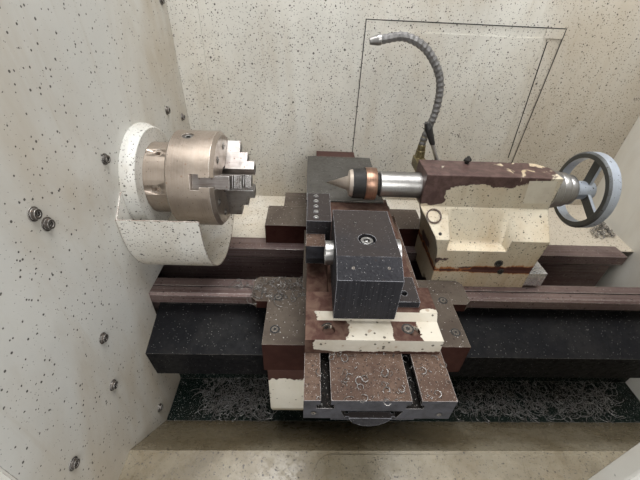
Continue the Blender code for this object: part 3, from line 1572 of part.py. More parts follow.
def tailstock_base():
    """The tailstock's sole: it rests on the inner ways, with a tongue down between them."""
    low, top = below(BED_DROP) + GAP, below(TAIL_SEAM_DROP)
    tongue = low - TONGUE_DEPTH
    outline = [
        (ahead(TAIL_FRONT), top),
        (ahead(TAIL_FRONT), low),
        (ahead(TONGUE_HALF), low),
        (ahead(TONGUE_HALF), tongue),
        (AY + REAR_WAY_INNER - OVERRUN, tongue),
        (AY + REAR_WAY_INNER - OVERRUN, low),
        (AY + TAIL_REAR, low),
        (AY + TAIL_REAR, top),
    ]
    x = (FACE + TAIL_FOOT_START, FACE + TAIL_FOOT_END)
    return prism("tailstock_base", outline, "X", *x, cream())


def tailstock_end_block():
    left = FACE + TAIL_FOOT_END + GAP
    x, y = (left, left + BLOCK_END_LENGTH), (ahead(TAIL_FRONT), AY + BLOCK_END_BACK)
    z = (below(BLOCK_END_LOW_DROP), below(BLOCK_END_TOP_DROP))
    return box("tailstock_end_block", x, y, z, paint("aluminium", (0.75, 0.75, 0.76), 0.35, 1))


def tailstock_pocket():
    """The cutter for the recess in the front: its floor slopes and its corners are rounded."""
    top, ledge = below(POCKET_TOP_DROP), below(POCKET_LEDGE_DROP)
    out = ahead(TAIL_FRONT) - OVERRUN
    floor = ahead(POCKET_FLOOR_REACH)
    outline = [(ahead(TAIL_HALF), top), (floor, ledge), (out, ledge), (out, top)]
    x = (FACE + POCKET_START, FACE + POCKET_END)
    pocket = prism("front_pocket", outline, "X", *x)
    bm = bmesh.new()
    bm.from_mesh(pocket.data)
    deep = [edge for edge in bm.edges if all(vert.co.y > floor - GAP for vert in edge.verts)]
    round_edges = [edge for edge in deep if min(vert.co.z for vert in edge.verts) < ledge + GAP]
    bmesh.ops.bevel(
        bm,
        geom=round_edges,
        offset=POCKET_RADIUS,
        segments=3,
        affect="EDGES",
        profile=0.5,
    )
    bmesh.ops.recalc_face_normals(bm, faces=bm.faces)
    bm.to_mesh(pocket.data)
    bm.free()
    return pocket


def tailstock_body():
    """The tailstock casting: barrel above, flared foot below, a pocket in front and the quill bore."""
    seam = below(TAIL_SEAM_DROP) + GAP
    outline = [
        (ahead(TAIL_HALF), AZ + TAIL_TOP),
        (ahead(TAIL_HALF), below(TAIL_CHEEK_DROP)),
        (ahead(TAIL_FRONT), below(TAIL_HIP_DROP)),
        (ahead(TAIL_FRONT), seam),
        (AY + TAIL_REAR, seam),
        (AY + TAIL_REAR, below(TAIL_REAR_HIP_DROP)),
        (AY + TAIL_HALF, below(TAIL_REAR_CHEEK_DROP)),
        (AY + TAIL_HALF, AZ + TAIL_TOP),
    ]
    nose, end = FACE + TAIL_NOSE, FACE + TAIL_END
    body = prism("tailstock_body", outline, "X", nose, end, cream())
    wide = (ahead(TAIL_FRONT) - OVERRUN, AY + TAIL_REAR + OVERRUN)
    lean_left = [
        (nose - OVERRUN, below(TAIL_CHEEK_DROP)),
        (nose, below(TAIL_CHEEK_DROP)),
        (nose + NOSE_SHOULDER, below(NOSE_SHOULDER_DROP)),
        (nose + NOSE_WAIST, below(NOSE_WAIST_DROP)),
        (FACE + TAIL_FOOT_START, seam + OVERRUN),
        (FACE + TAIL_FOOT_START, seam - OVERRUN),
        (nose - OVERRUN, seam - OVERRUN),
    ]
    cut(body, prism("nose_lean", lean_left, "Y", *wide))
    foot = FACE + TAIL_FOOT_END
    lean_right = [
        (end, below(TAIL_CHEEK_DROP)),
        (end + OVERRUN, below(TAIL_CHEEK_DROP)),
        (end + OVERRUN, seam - OVERRUN),
        (foot, seam - OVERRUN),
        (foot, seam + OVERRUN),
    ]
    cut(body, prism("end_lean", lean_right, "Y", *wide))
    top = AZ + TAIL_TOP
    rear = AY + TAIL_HALF
    corner = [
        (end - END_CORNER, rear + OVERRUN),
        (end - END_CORNER, rear),
        (end, rear - END_CORNER),
        (end + OVERRUN, rear - END_CORNER),
        (end + OVERRUN, rear + OVERRUN),
    ]
    cut(body, prism("rear_corner", corner, "Z", below(TAIL_REAR_CHEEK_DROP), top + OVERRUN))
    cut(body, tailstock_pocket())
    plug = Vector((FACE + PLUG_START, ahead(PLUG_REACH), below(PLUG_DROP)))
    rise, run = TAIL_HIP_DROP - TAIL_CHEEK_DROP, TAIL_FRONT - TAIL_HALF
    out = Vector((0, -rise, run)).normalized()
    join(body, rod("side_plug", PLUG_RADIUS, plug - out * PLUG_RADIUS, plug + out * PLUG_HEIGHT))
    start, stop = (nose - OVERRUN, AY, AZ), (end + OVERRUN, AY, AZ)
    return cut(body, rod("quill_bore", QUILL_RADIUS + GAP, start, stop, steps=ROUND))


def quill():
    """The quill: tapered inside for the centre, bored at the back for the feed screw."""
    start = FACE + TAIL_NOSE - QUILL_EXTENSION
    profile = [
        (0, QUILL_TAPER_MOUTH),
        (0, QUILL_RADIUS - QUILL_CHAMFER),
        (QUILL_CHAMFER, QUILL_RADIUS),
        (QUILL_LENGTH, QUILL_RADIUS),
        (QUILL_LENGTH, QUILL_NUT_BORE),
        (QUILL_TAPER_DEPTH, QUILL_NUT_BORE),
    ]
    return turned("quill", profile, (start, AY, AZ), "X", bright())


def live_centre_body():
    """The live centre's body: a dark band, a knurled ring and the tapered shank in the quill."""
    start = FACE + CENTRE_BODY_START
    mouth = FACE + TAIL_NOSE - QUILL_EXTENSION - start
    band, ring = CENTRE_BAND, CENTRE_BAND + CENTRE_RING
    pin = CENTRE_PIN_RADIUS + GAP
    depth = CENTRE_PIN_LENGTH + GAP
    slope = (QUILL_TAPER_MOUTH - QUILL_NUT_BORE) / QUILL_TAPER_DEPTH
    shank = QUILL_TAPER_DEPTH - OVERRUN
    profile = [
        (depth, 0),
        (depth, pin),
        (0, pin),
        (0, CENTRE_BODY_RADIUS - GAP),
        (band, CENTRE_BODY_RADIUS),
        (band, CENTRE_RING_RADIUS),
        (ring - SHEET, CENTRE_RING_RADIUS),
        (ring, CENTRE_RING_RADIUS - SHEET),
        (ring, CENTRE_NECK_RADIUS),
        (mouth - GAP, CENTRE_NECK_RADIUS),
        (mouth - GAP, QUILL_TAPER_MOUTH - GAP),
        (mouth + shank, QUILL_TAPER_MOUTH - GAP - slope * shank),
        (mouth + shank, 0),
    ]
    return turned("live_centre_body", profile, (start, AY, AZ), "X", black(), closed=False)


def live_centre_point():
    """The turning point of the live centre, with the pin that it runs on."""
    tip = FACE + CENTRE_TIP
    face = CENTRE_BODY_START - CENTRE_TIP - GAP
    profile = [
        (0, 0),
        (CENTRE_CONE_LENGTH, CENTRE_CONE_RADIUS),
        (CENTRE_CONE_LENGTH + SHEET, CENTRE_SHOULDER_RADIUS - SHEET),
        (face, CENTRE_SHOULDER_RADIUS),
        (face, CENTRE_PIN_RADIUS),
        (face + CENTRE_PIN_LENGTH, CENTRE_PIN_RADIUS),
        (face + CENTRE_PIN_LENGTH, 0),
    ]
    return turned("live_centre_point", profile, (tip, AY, AZ), "X", bright(), closed=False)


def tailstock_dial():
    """The stepped bearing cap behind the tailstock, which the feed screw runs in."""
    profile = [(0, FEED_SCREW_RADIUS + GAP)]
    for i, radius in enumerate(DIAL_RADII):
        start = i * DIAL_STEP
        if i:
            profile.append((start, radius - DIAL_GROOVE))
            profile.append((start + DIAL_GROOVE, radius))
        else:
            profile.append((start, radius))
        profile.append((start + DIAL_STEP - DIAL_GROOVE, radius))
        profile.append((start + DIAL_STEP, radius - DIAL_GROOVE))
    profile.append((len(DIAL_RADII) * DIAL_STEP, FEED_SCREW_RADIUS + GAP))
    return turned("tailstock_dial", profile, (FACE + TAIL_END + GAP, AY, AZ), "X", ground())


def handwheel():
    """The handwheel with its rim, three spokes and hub, on the feed screw."""
    x = FACE + WHEEL_START
    inner = WHEEL_RADIUS - WHEEL_RIM
    c = WHEEL_CHAMFER
    profile = [
        (0, inner),
        (0, WHEEL_RADIUS - c),
        (c, WHEEL_RADIUS),
        (WHEEL_WIDTH - c, WHEEL_RADIUS),
        (WHEEL_WIDTH, WHEEL_RADIUS - c),
        (WHEEL_WIDTH, inner + c),
        (WHEEL_WIDTH - c, inner),
    ]
    wheel = turned("handwheel", profile, (x, AY, AZ), "X", bright())
    hub = FACE + TAIL_END + 2 * GAP + len(DIAL_RADII) * DIAL_STEP
    centre = Vector((x + WHEEL_WIDTH / 2, AY, AZ))
    half = WHEEL_SPOKE_THICKNESS / 2
    for i in range(WHEEL_SPOKES):
        angle = pi / 2 + 2 * pi * i / WHEEL_SPOKES
        out = Vector((0, cos(angle), sin(angle)))
        w = WHEEL_SPOKE_WIDTH / 2
        outline = [(-half, -w), (half, -w), (half, w), (-half, w)]
        spoke = prism("spoke", outline, "Z", WHEEL_HUB / 2, inner + WHEEL_RIM / 2)
        spoke.matrix_basis = radial_frame(centre, out)
        join(wheel, spoke)
    end = x + WHEEL_WIDTH
    join(wheel, rod("wheel_hub", WHEEL_HUB, (hub, AY, AZ), (end, AY, AZ), steps=ROUND_SMALL))
    start = (FACE + FEED_SCREW_START, AY, AZ)
    return join(wheel, rod("feed_screw", FEED_SCREW_RADIUS, start, (end - SHEET, AY, AZ)))


def lock_lever():
    """The quill lock: a hub behind the barrel, a bright rod and a tapered black grip."""
    z = below(LEVER_DROP)
    x = FACE + LEVER_START
    back = AY + TAIL_HALF + GAP
    start, end = Vector((x, back, z)), Vector((x, back + LEVER_HUB_LENGTH, z))
    lever = rod("quill_lock_lever", LEVER_HUB_RADIUS, start, end, black())
    out = Vector((sin(LEVER_LEAN), 0, cos(LEVER_LEAN)))
    foot = Vector((x, back + LEVER_HUB_LENGTH - LEVER_HUB_RADIUS, z))
    join(lever, rod("lever_rod", LEVER_ROD_RADIUS, foot, foot + out * (LEVER_ROD_LENGTH + SHEET), steps=ROUND_TINY))
    profile = [
        (0, 0),
        (0, LEVER_GRIP_NECK),
        (LEVER_GRIP_LENGTH * 3 / 4, LEVER_GRIP_RADIUS),
        (LEVER_GRIP_LENGTH, LEVER_GRIP_NECK),
        (LEVER_GRIP_LENGTH, 0),
    ]
    grip = turned("lever_grip", profile, foot + out * LEVER_ROD_LENGTH, out, None, 16, False)
    return join(lever, grip)


def hose_origin():
    x = FACE + VALVE_START + VALVE_SIZE / 2
    y = AY + TAIL_HALF + GAP + VALVE_REACH - VALVE_SIZE / 2
    return Vector((x, y, AZ + VALVE_BASE + VALVE_HEIGHT + SOCKET_HEIGHT + GAP))


def hose_valve():
    """The coolant valve on the back of the barrel, with the socket that the hose stands in."""
    x = (FACE + VALVE_START, FACE + VALVE_START + VALVE_SIZE)
    back = AY + TAIL_HALF + GAP
    y = (back, back + VALVE_REACH)
    z = (AZ + VALVE_BASE, AZ + VALVE_BASE + VALVE_HEIGHT)
    valve = box("hose_valve", x, y, z, paint("brass", (0.45, 0.38, 0.20), 0.45, 1))
    top = hose_origin() - Vector((0, 0, GAP))
    foot = Vector((top.x, top.y, z[1] - SHEET))
    return join(valve, rod("hose_socket", SOCKET_RADIUS, foot, top))


def smooth_route(points, count):
    """Evenly parted points on a Catmull-Rom curve through the route's own points."""
    padded = [points[0] * 2 - points[1]] + points + [points[-1] * 2 - points[-2]]
    dense = []
    for i in range(1, len(padded) - 2):
        a, b, c, d = padded[i - 1 : i + 3]
        for step in range(12):
            t = step / 12
            bend = 2 * a - 5 * b + 4 * c - d
            lift = 3 * b - a - 3 * c + d
            dense.append((2 * b + (c - a) * t + bend * t**2 + lift * t**3) / 2)
    dense.append(points[-1])
    lengths = [0.0]
    for a, b in zip(dense, dense[1:]):
        lengths.append(lengths[-1] + (b - a).length)
    spaced = []
    for i in range(count):
        target = lengths[-1] * i / (count - 1)
        index = next(k for k, length in enumerate(lengths) if length >= target - GAP / 1000)
        if index == 0:
            spaced.append(dense[0])
            continue
        span = lengths[index] - lengths[index - 1]
        share = (target - lengths[index - 1]) / span
        spaced.append(dense[index - 1].lerp(dense[index], share))
    return spaced


def hose_path():
    origin = hose_origin()
    route = [origin + Vector((x, 0, z)) for x, z in HOSE_ROUTE]
    return smooth_route(route, HOSE_POINTS)


def coolant_hose():
    """The flexible metal conduit: one tube whose radius rises and falls along its ribs."""
    path = hose_path()
    curve = bpy.data.curves.new("coolant_hose", "CURVE")
    curve.dimensions = "3D"
    curve.bevel_depth = HOSE_RADIUS
    curve.bevel_resolution = 2
    curve.use_fill_caps = True
    spline = curve.splines.new("POLY")
    spline.points.add(len(path) - 1)
    for i, (point, place) in enumerate(zip(spline.points, path)):
        point.co = (*place, 1)
        point.radius = 1 + HOSE_RIB / HOSE_RADIUS * (i % 2)
    curve.materials.append(ground())
    obj = bpy.data.objects.new("coolant_hose", curve)
    parts.objects.link(obj)
    return obj


def hose_nozzle():
    """The bright cone at the hose's end."""
    path = hose_path()
    out = (path[-1] - path[-2]).normalized()
    profile = [
        (0, NOZZLE_BORE),
        (0, NOZZLE_BACK_RADIUS),
        (NOZZLE_LENGTH / 4, NOZZLE_BACK_RADIUS),
        (NOZZLE_LENGTH, NOZZLE_FRONT_RADIUS),
        (NOZZLE_LENGTH, NOZZLE_BORE),
    ]
    return turned("hose_nozzle", profile, path[-1] + out * GAP, out, bright(), ROUND_SMALL)


def enclosure():
    base_cabinet()
    chip_tray()
    front_sill()
    headstock_wall()
    front_covers()
    headstock_casing()
    back_splash()
    corner_strip()
    splash_access_panel()
    right_end_wall()
    upper_rail()
    right = FACE + RIGHT_DOOR_START
    door("right_door", right, right + RIGHT_DOOR_LENGTH)
    left = FACE - LEFT_DOOR_INSET
    door("left_door", left, left - LEFT_DOOR_LENGTH)
    spindle_collar()
    chuck_guard()


def headstock():
    headstock_casting()
    spindle()
    pulley_x = FACE - PULLEY_START - PULLEY_WIDTH
    pulley("spindle_pulley", pulley_x, AY, AZ, PULLEY_RADIUS, SPINDLE_RADIUS + GAP, gunmetal())
    drive_belt(pulley_x)
    motor_shaft_and_pulley(pulley_x)
    spindle_motor(pulley_x)


def chuck():
    chuck_body()
    scroll()
    for number, out in chuck_directions():
        chuck_jaw(number, out)
    for number, out in chuck_directions(pi / JAW_COUNT):
        pinion(number, out)


def carriage():
    screw_cover()
    z_screw()
    saddle()
    apron()
    cross_slide()
    slide_end_cap()
    riser_block()
    tool_block()
    boring_sleeve()
    block_clamp()
    turning_holder()
    tool_shank()
    rear_cover()
    x_motor_box()
    x_screw()


def tailstock():
    tailstock_base()
    tailstock_end_block()
    tailstock_body()
    quill()
    live_centre_body()
    live_centre_point()
    tailstock_dial()
    handwheel()
    lock_lever()
    hose_valve()
    coolant_hose()
    hose_nozzle()


def place_on_axes():
    """Parents the pieces that move together to an empty on their own axis or slide."""
    axis = Vector((0, AY, AZ))
    jaws = [f"chuck_jaw_{i + 1}" for i in range(JAW_COUNT)]
    pinions = [f"key_pinion_{i + 1}" for i in range(JAW_COUNT)]
    turning = ["spindle", "spindle_pulley", "chuck_body", "chuck_scroll"]
    hold("spindle_axis", axis + Vector((FACE, 0, 0)), turning + jaws + pinions)
    tooling = ["slide_end_cap", "riser_block", "tool_block", "boring_sleeve", "block_clamp"]
    tooling += ["turning_holder", "turning_tool"]
    middle = slide_x(X_SCREW_OFFSET)
    cross = hold("cross_slideway", (middle, AY, below(SADDLE_TOP_DROP)), ["cross_slide"] + tooling)
    carried = ["saddle", "apron", "rear_cover", "cross_motor_box", "cross_screw"]
    carriage = hold("bed_slideway", (middle, AY, below(BED_DROP)), carried)
    cross.parent = carriage
    cross.matrix_parent_inverse = Matrix.Translation(carriage.location).inverted()
    quill_group = ["quill", "live_centre_body", "live_centre_point", "handwheel"]
    quill_axis = hold("quill_axis", axis + Vector((FACE + TAIL_NOSE, 0, 0)), quill_group)
    fixed = ["tailstock_base", "tailstock_end_block", "tailstock_body", "tailstock_dial"]
    fixed += ["quill_lock_lever", "hose_valve", "coolant_hose", "hose_nozzle"]
    tail = hold("tailstock_slideway", (FACE + TAIL_FOOT_START, AY, below(BED_DROP)), fixed)
    quill_axis.parent = tail
    quill_axis.matrix_parent_inverse = Matrix.Translation(tail.location).inverted()


def main():
    clear_scene()
    enclosure()
    bed()
    headstock()
    chuck()
    carriage()
    tailstock()
    place_on_axes()


main()
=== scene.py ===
"""Looks of the CNC turning lathe: worn machine paint, oily iron, bright steel, screws, hose ribs and swarf.

Units are metres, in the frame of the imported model: X towards the tailstock, Y away from the operator, Z up.
"""

import json
from math import cos, pi, radians, sin
from random import Random

import bmesh
import bpy
from bpy.props import FloatProperty, FloatVectorProperty, IntProperty, PointerProperty
from mathutils import Matrix, Vector
from mathutils.bvhtree import BVHTree


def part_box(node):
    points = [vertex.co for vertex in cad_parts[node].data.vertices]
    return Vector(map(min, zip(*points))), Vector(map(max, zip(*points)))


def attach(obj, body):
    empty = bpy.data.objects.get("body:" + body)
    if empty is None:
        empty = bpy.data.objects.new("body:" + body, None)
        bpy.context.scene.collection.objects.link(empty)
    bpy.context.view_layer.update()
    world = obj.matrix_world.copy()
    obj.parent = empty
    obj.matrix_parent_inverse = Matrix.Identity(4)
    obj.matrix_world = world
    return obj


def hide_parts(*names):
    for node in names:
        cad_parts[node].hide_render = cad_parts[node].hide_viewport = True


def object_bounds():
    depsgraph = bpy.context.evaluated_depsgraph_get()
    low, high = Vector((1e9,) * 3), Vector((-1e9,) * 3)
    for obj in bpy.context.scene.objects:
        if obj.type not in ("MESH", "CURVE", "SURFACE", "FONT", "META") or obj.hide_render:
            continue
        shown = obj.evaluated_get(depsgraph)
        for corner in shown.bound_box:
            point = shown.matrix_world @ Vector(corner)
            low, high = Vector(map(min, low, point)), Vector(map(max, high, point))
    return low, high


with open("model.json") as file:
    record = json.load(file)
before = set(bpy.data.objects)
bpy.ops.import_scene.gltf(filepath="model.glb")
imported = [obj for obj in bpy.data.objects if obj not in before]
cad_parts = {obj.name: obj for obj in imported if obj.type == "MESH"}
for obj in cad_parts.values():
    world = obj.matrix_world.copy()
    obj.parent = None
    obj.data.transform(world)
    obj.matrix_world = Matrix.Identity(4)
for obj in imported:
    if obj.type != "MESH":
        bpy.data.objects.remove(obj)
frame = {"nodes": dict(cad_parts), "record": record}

bl_info = {
    "name": "CNC turning lathe",
    "version": (1, 0, 0),
    "blender": (4, 5, 0),
    "location": "View3D > Sidebar > Lathe",
    "description": "Dresses the turning lathe's solids with finishes, fasteners, hose ribs, door trim and swarf",
    "category": "Object",
}

CAD_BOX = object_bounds()

# Places that every piece shares, from the solids
FACE = -0.4925
AXIS_Y = 0.130
AXIS_Z = 1.100
SLIDE_X = -0.055
TAIL_X = 0.250

# Camera: place, turn about each axis, and focal length in pixels of a 640-pixel picture
EYE = Vector((-0.055, -0.71087, 1.53693))
YAW, PITCH, ROLL = radians(2.6443), radians(37.0771), radians(-3.0031)
PICTURE = (640, 480)
FOCAL = 340.09
SENSOR = 36.0

BODY_OF = {n: b for b, ns in frame["record"]["behaviour"]["bodies"].items() for n in ns}


def colour(name, text, value):
    return FloatVectorProperty(
        name=name, description=text, subtype="COLOR", size=3, min=0, max=1, default=value
    )


def length(name, text, value):
    return FloatProperty(name=name, description=text, unit="LENGTH", subtype="DISTANCE", default=value)


class LATHE_PG_colours(bpy.types.PropertyGroup):
    """Colours of the paints and metals."""

    cream: colour("Cream", "Machine paint on the sheet metal", (0.62, 0.60, 0.54))
    wall: colour("Wall", "Greyer paint of the headstock wall", (0.55, 0.54, 0.50))
    cast: colour("Cast cream", "Paint on the tailstock casting", (0.66, 0.60, 0.47))
    haze: colour("Haze", "Brown coolant haze on the paint", (0.34, 0.26, 0.16))
    iron: colour("Iron", "Dark iron where paint is gone", (0.075, 0.042, 0.038))
    film: colour("Film", "Brown oily film on ground iron", (0.118, 0.078, 0.058))
    rust: colour("Rust", "Fresh rust at the seams", (0.36, 0.13, 0.035))
    gunmetal: colour("Gunmetal", "Oiled steel of the tool holders", (0.024, 0.024, 0.027))
    steel: colour("Steel", "Turned and ground steel", (0.52, 0.51, 0.49))
    copper: colour("Copper", "Band round the live centre", (0.27, 0.155, 0.105))


class LATHE_PG_sizes(bpy.types.PropertyGroup):
    """Sizes of the small pieces."""

    wall_bolt: length("Wall bolt", "Radius of a wall bolt's head", 0.0095)
    cap_screw: length("Cap screw", "Radius of a cap screw's head", 0.0080)
    set_screw: length("Set screw", "Radius of a set screw", 0.0052)
    rib: length("Rib", "Radius of a hose rib's wire", 0.0013)
    ribs: IntProperty(name="Ribs", description="Number of hose ribs", default=104, min=10, max=200)
    chips: IntProperty(name="Chips", description="Chips in the largest heap", default=900, min=0, max=2000)
    gasket: length("Gasket", "Width of a window gasket", 0.012)


# ---------------------------------------------------------------- node helpers
def put(tree, socket, value):
    if isinstance(value, bpy.types.NodeSocket):
        tree.links.new(value, socket)
    elif socket.type == "RGBA":
        socket.default_value = (*value[:3], 1)
    else:
        socket.default_value = value


def add(tree, kind, inputs=None, **settings):
    made = tree.nodes.new("ShaderNode" + kind)
    for name, value in settings.items():
        setattr(made, name, value)
    for name, value in (inputs or {}).items():
        put(tree, made.inputs[name], value)
    return made


def maths(tree, operation, a, b=0.0):
    return add(tree, "Math", {0: a, 1: b}, operation=operation).outputs[0]


def mix(tree, factor, a, b):
    return add(tree, "Mix", {0: factor, 6: a, 7: b}, data_type="RGBA").outputs[2]


def blend_value(tree, factor, a, b):
    return add(tree, "Mix", {0: factor, 2: a, 3: b}, data_type="FLOAT").outputs[0]


def ramp(tree, value, low, high, out_low=0.0, out_high=1.0):
    inputs = {0: value, 1: low, 2: high, 3: out_low, 4: out_high}
    return add(tree, "MapRange", inputs, interpolation_type="SMOOTHSTEP").outputs[0]


def noise(tree, vector, scale, detail=4.0, roughness=0.6, distortion=0.0):
    inputs = {"Vector": vector, "Scale": scale, "Detail": detail, "Roughness": roughness}
    inputs["Distortion"] = distortion
    return add(tree, "TexNoise", inputs).outputs[0]


def stretched(tree, vector, by):
    return add(tree, "VectorMath", {0: vector, 1: by}, operation="MULTIPLY").outputs[0]


def effect(name, inputs, outputs, build):
    """A shader node group, made once, with named inputs and outputs."""
    tree = bpy.data.node_groups.new(name, "ShaderNodeTree")
    for label, kind, value in inputs:
        socket = tree.interface.new_socket(name=label, in_out="INPUT", socket_type="NodeSocket" + kind)
        if value is not None:
            socket.default_value = value
    for label, kind in outputs:
        tree.interface.new_socket(name=label, in_out="OUTPUT", socket_type="NodeSocket" + kind)
    entry = tree.nodes.new("NodeGroupInput")
    leave = tree.nodes.new("NodeGroupOutput")
    for label, value in build(tree, entry.outputs).items():
        tree.links.new(value, leave.inputs[label])


def use(tree, name, inputs):
    made = tree.nodes.new("ShaderNodeGroup")
    made.node_tree = bpy.data.node_groups[name]
    for label, value in inputs.items():
        put(tree, made.inputs[label], value)
    return made.outputs


def shader_of(name):
    """A new material's node tree, and the inputs of its shader."""
    material = bpy.data.materials.new(name)
    material.use_nodes = True
    return material.node_tree, material.node_tree.nodes["Principled BSDF"].inputs


def build_edge_wear(tree, given):
    rounded = add(tree, "Bevel", {"Radius": given["Radius"]}, samples=6).outputs[0]
    flat = add(tree, "NewGeometry").outputs["Normal"]
    dot = add(tree, "VectorMath", {0: rounded, 1: flat}, operation="DOT_PRODUCT").outputs["Value"]
    bend = maths(tree, "SUBTRACT", 1.0, dot)
    patch = noise(tree, given["Vector"], given["Scale"], 5.0, 0.65)
    torn = maths(tree, "MULTIPLY", ramp(tree, patch, 0.35, 0.62), given["Amount"])
    mask = ramp(tree, maths(tree, "MULTIPLY", bend, torn), 0.012, 0.055)
    return {"Mask": mask, "Normal": rounded}


def build_speckle(tree, given):
    cell = add(tree, "TexVoronoi", {"Vector": given["Vector"], "Scale": given["Scale"]})
    share = add(tree, "SeparateColor", {0: cell.outputs["Color"]}).outputs[0]
    size = maths(tree, "MULTIPLY", maths(tree, "POWER", share, 5.0), given["Amount"])
    gap = maths(tree, "SUBTRACT", size, cell.outputs["Distance"])
    return {"Mask": ramp(tree, gap, 0.0, 0.07)}


def build_mottle(tree, given):
    value = noise(tree, given["Vector"], given["Scale"], 5.0, 0.62, 0.4)
    return {"Mask": ramp(tree, value, given["Low"], given["High"])}


def build_chips(tree, given):
    ragged = noise(tree, given["Vector"], given["Scale"], 7.0, 0.62, 0.5)
    level = maths(tree, "ADD", ragged, given["Bias"])
    return {"Mask": ramp(tree, level, 0.492, 0.508), "Lip": ramp(tree, level, 0.47, 0.50)}


def make_effects():
    vector, value = ("Vector", "Vector", None), "Float"
    effect(
        "edge wear",
        [vector, ("Radius", value, 0.0015), ("Scale", value, 60.0), ("Amount", value, 1.0)],
        [("Mask", value), ("Normal", "Vector")],
        build_edge_wear,
    )
    effect("speckle", [vector, ("Scale", value, 60.0), ("Amount", value, 0.5)], [("Mask", value)], build_speckle)
    effect(
        "mottle",
        [vector, ("Scale", value, 4.0), ("Low", value, 0.4), ("High", value, 0.6)],
        [("Mask", value)],
        build_mottle,
    )
    effect(
        "chips",
        [vector, ("Scale", value, 20.0), ("Bias", value, 0.0)],
        [("Mask", value), ("Lip", value)],
        build_chips,
    )


def fields(tree, coordinate, facing, rest, parts):
    """A value built from slopes: each part is a gain and the (axis, from, to) slopes that it multiplies."""
    place = add(tree, "SeparateXYZ", {0: coordinate}).outputs
    normal = add(tree, "SeparateXYZ", {0: facing}).outputs
    source = dict(zip(("X", "Y", "Z", "side", "front", "up"), (*place, *normal)))
    total = rest
    for gain, slopes in parts:
        product = gain
        for axis, start, end in slopes:
            low, high = min(start, end), max(start, end)
            ends = (0.0, 1.0) if start < end else (1.0, 0.0)
            product = maths(tree, "MULTIPLY", ramp(tree, source[axis], low, high, *ends), product)
        total = maths(tree, "ADD", total, product)
    return total


def finish(name, base, second, **look):
    """A worn finish: mottled colour, coolant hazing and painted shade, streaks, specks and painted glints, tool lines,
    chips, rust and rubbed edges.
    """
    tree, surface = shader_of(name)
    where = add(tree, "TexCoord").outputs["Object"]
    facing = add(tree, "NewGeometry").outputs["Normal"]
    scale = look.get("scale", 5.0)
    clouds = use(tree, "mottle", {"Vector": where, "Scale": scale, "Low": 0.38, "High": 0.66})[0]
    shade = mix(tree, clouds, base, second)
    fine = use(tree, "mottle", {"Vector": where, "Scale": scale * 9, "Low": 0.35, "High": 0.75})[0]
    depth = look.get("grain", 0.25)
    darker = [c * (1 - depth) for c in base]
    shade = mix(tree, maths(tree, "MULTIPLY", fine, depth * 1.6), shade, darker)
    height = maths(tree, "MULTIPLY", fine, look.get("rough_bump", 0.15))
    metal = look.get("metallic", 0.0)
    low, high = look.get("roughness", (0.4, 0.6))
    gloss = ramp(tree, fine, 0.0, 1.0, low, high)
    if "lines" in look:
        by, strength, tone = look["lines"]
        tool = noise(tree, stretched(tree, where, by), 1.0, 3.0, 0.7)
        marks = ramp(tree, tool, 0.3, 0.7)
        shade = mix(tree, maths(tree, "MULTIPLY", marks, strength), shade, tone)
        height = maths(tree, "ADD", height, maths(tree, "MULTIPLY", marks, 0.3 * strength))
    # A cloudy tone laid where the slopes say: coolant hazing in some finishes, painted shade in others
    if "haze" in look:
        tone, strength, parts = look["haze"]
        level = fields(tree, where, facing, 0.0, parts)
        cloud = noise(tree, stretched(tree, where, (1.0, 1.0, 0.45)), 4.5, 6.0, 0.62, 0.6)
        mask = ramp(tree, maths(tree, "ADD", cloud, level), 0.42, 0.85, 0.0, strength)
        shade = mix(tree, mask, shade, tone)
    if "streaks" in look:
        tone, strength = look["streaks"]
        runs = noise(tree, stretched(tree, where, (34.0, 34.0, 2.2)), 1.0, 4.0, 0.6)
        shade = mix(tree, ramp(tree, runs, 0.55, 0.78, 0.0, strength), shade, tone)
    # Specks: dark ones are dirt, bright ones are painted glints
    for tone, size, amount, strength in look.get("specks", ()):
        dots = use(tree, "speckle", {"Vector": where, "Scale": size, "Amount": amount})[0]
        shade = mix(tree, maths(tree, "MULTIPLY", dots, strength), shade, tone)
        height = maths(tree, "ADD", height, maths(tree, "MULTIPLY", dots, 0.25))
    edges = {"Vector": where, "Radius": look.get("edge_radius", 0.0015), "Amount": look.get("edge", 1.0)}
    wear = use(tree, "edge wear", edges)
    shade = mix(tree, wear[0], shade, look.get("edge_tone", (0.30, 0.27, 0.24)))
    if "chips" in look:
        tone, other, size, rest, parts = look["chips"]
        bias = fields(tree, where, facing, rest, parts)
        chip = use(tree, "chips", {"Vector": where, "Scale": size, "Bias": bias})
        spots = use(tree, "mottle", {"Vector": where, "Scale": 45.0, "Low": 0.35, "High": 0.7})[0]
        bare = mix(tree, spots, tone, other)
        shade = mix(tree, maths(tree, "MULTIPLY", chip[1], 0.45), shade, [c * 0.5 for c in tone])
        shade = mix(tree, chip[0], shade, bare)
        metal = maths(tree, "MULTIPLY", chip[0], look.get("chip_metal", 0.35))
        gloss = blend_value(tree, chip[0], gloss, 0.42)
        height = maths(tree, "SUBTRACT", height, maths(tree, "MULTIPLY", chip[0], 0.9))
    if "rust" in look:
        tone, rest, parts = look["rust"]
        bias = fields(tree, where, facing, rest, parts)
        runs = noise(tree, stretched(tree, where, (1.0, 1.0, 0.4)), 38.0, 6.0, 0.65, 0.5)
        stain = ramp(tree, maths(tree, "ADD", runs, bias), 0.50, 0.72)
        shade = mix(tree, stain, shade, tone)
        crust = ramp(tree, maths(tree, "ADD", runs, bias), 0.74, 0.80)
        shade = mix(tree, crust, shade, (0.07, 0.02, 0.012))
        gloss = blend_value(tree, stain, gloss, 0.8)
    put(tree, surface["Base Color"], shade)
    put(tree, surface["Roughness"], gloss)
    put(tree, surface["Metallic"], metal)
    relief = {"Height": height, "Normal": wear[1], "Strength": 0.5, "Distance": look.get("bump", 0.0006)}
    put(tree, surface["Normal"], add(tree, "Bump", relief).outputs[0])
    for label, value in look.get("shader", {}).items():
        surface[label].default_value = value
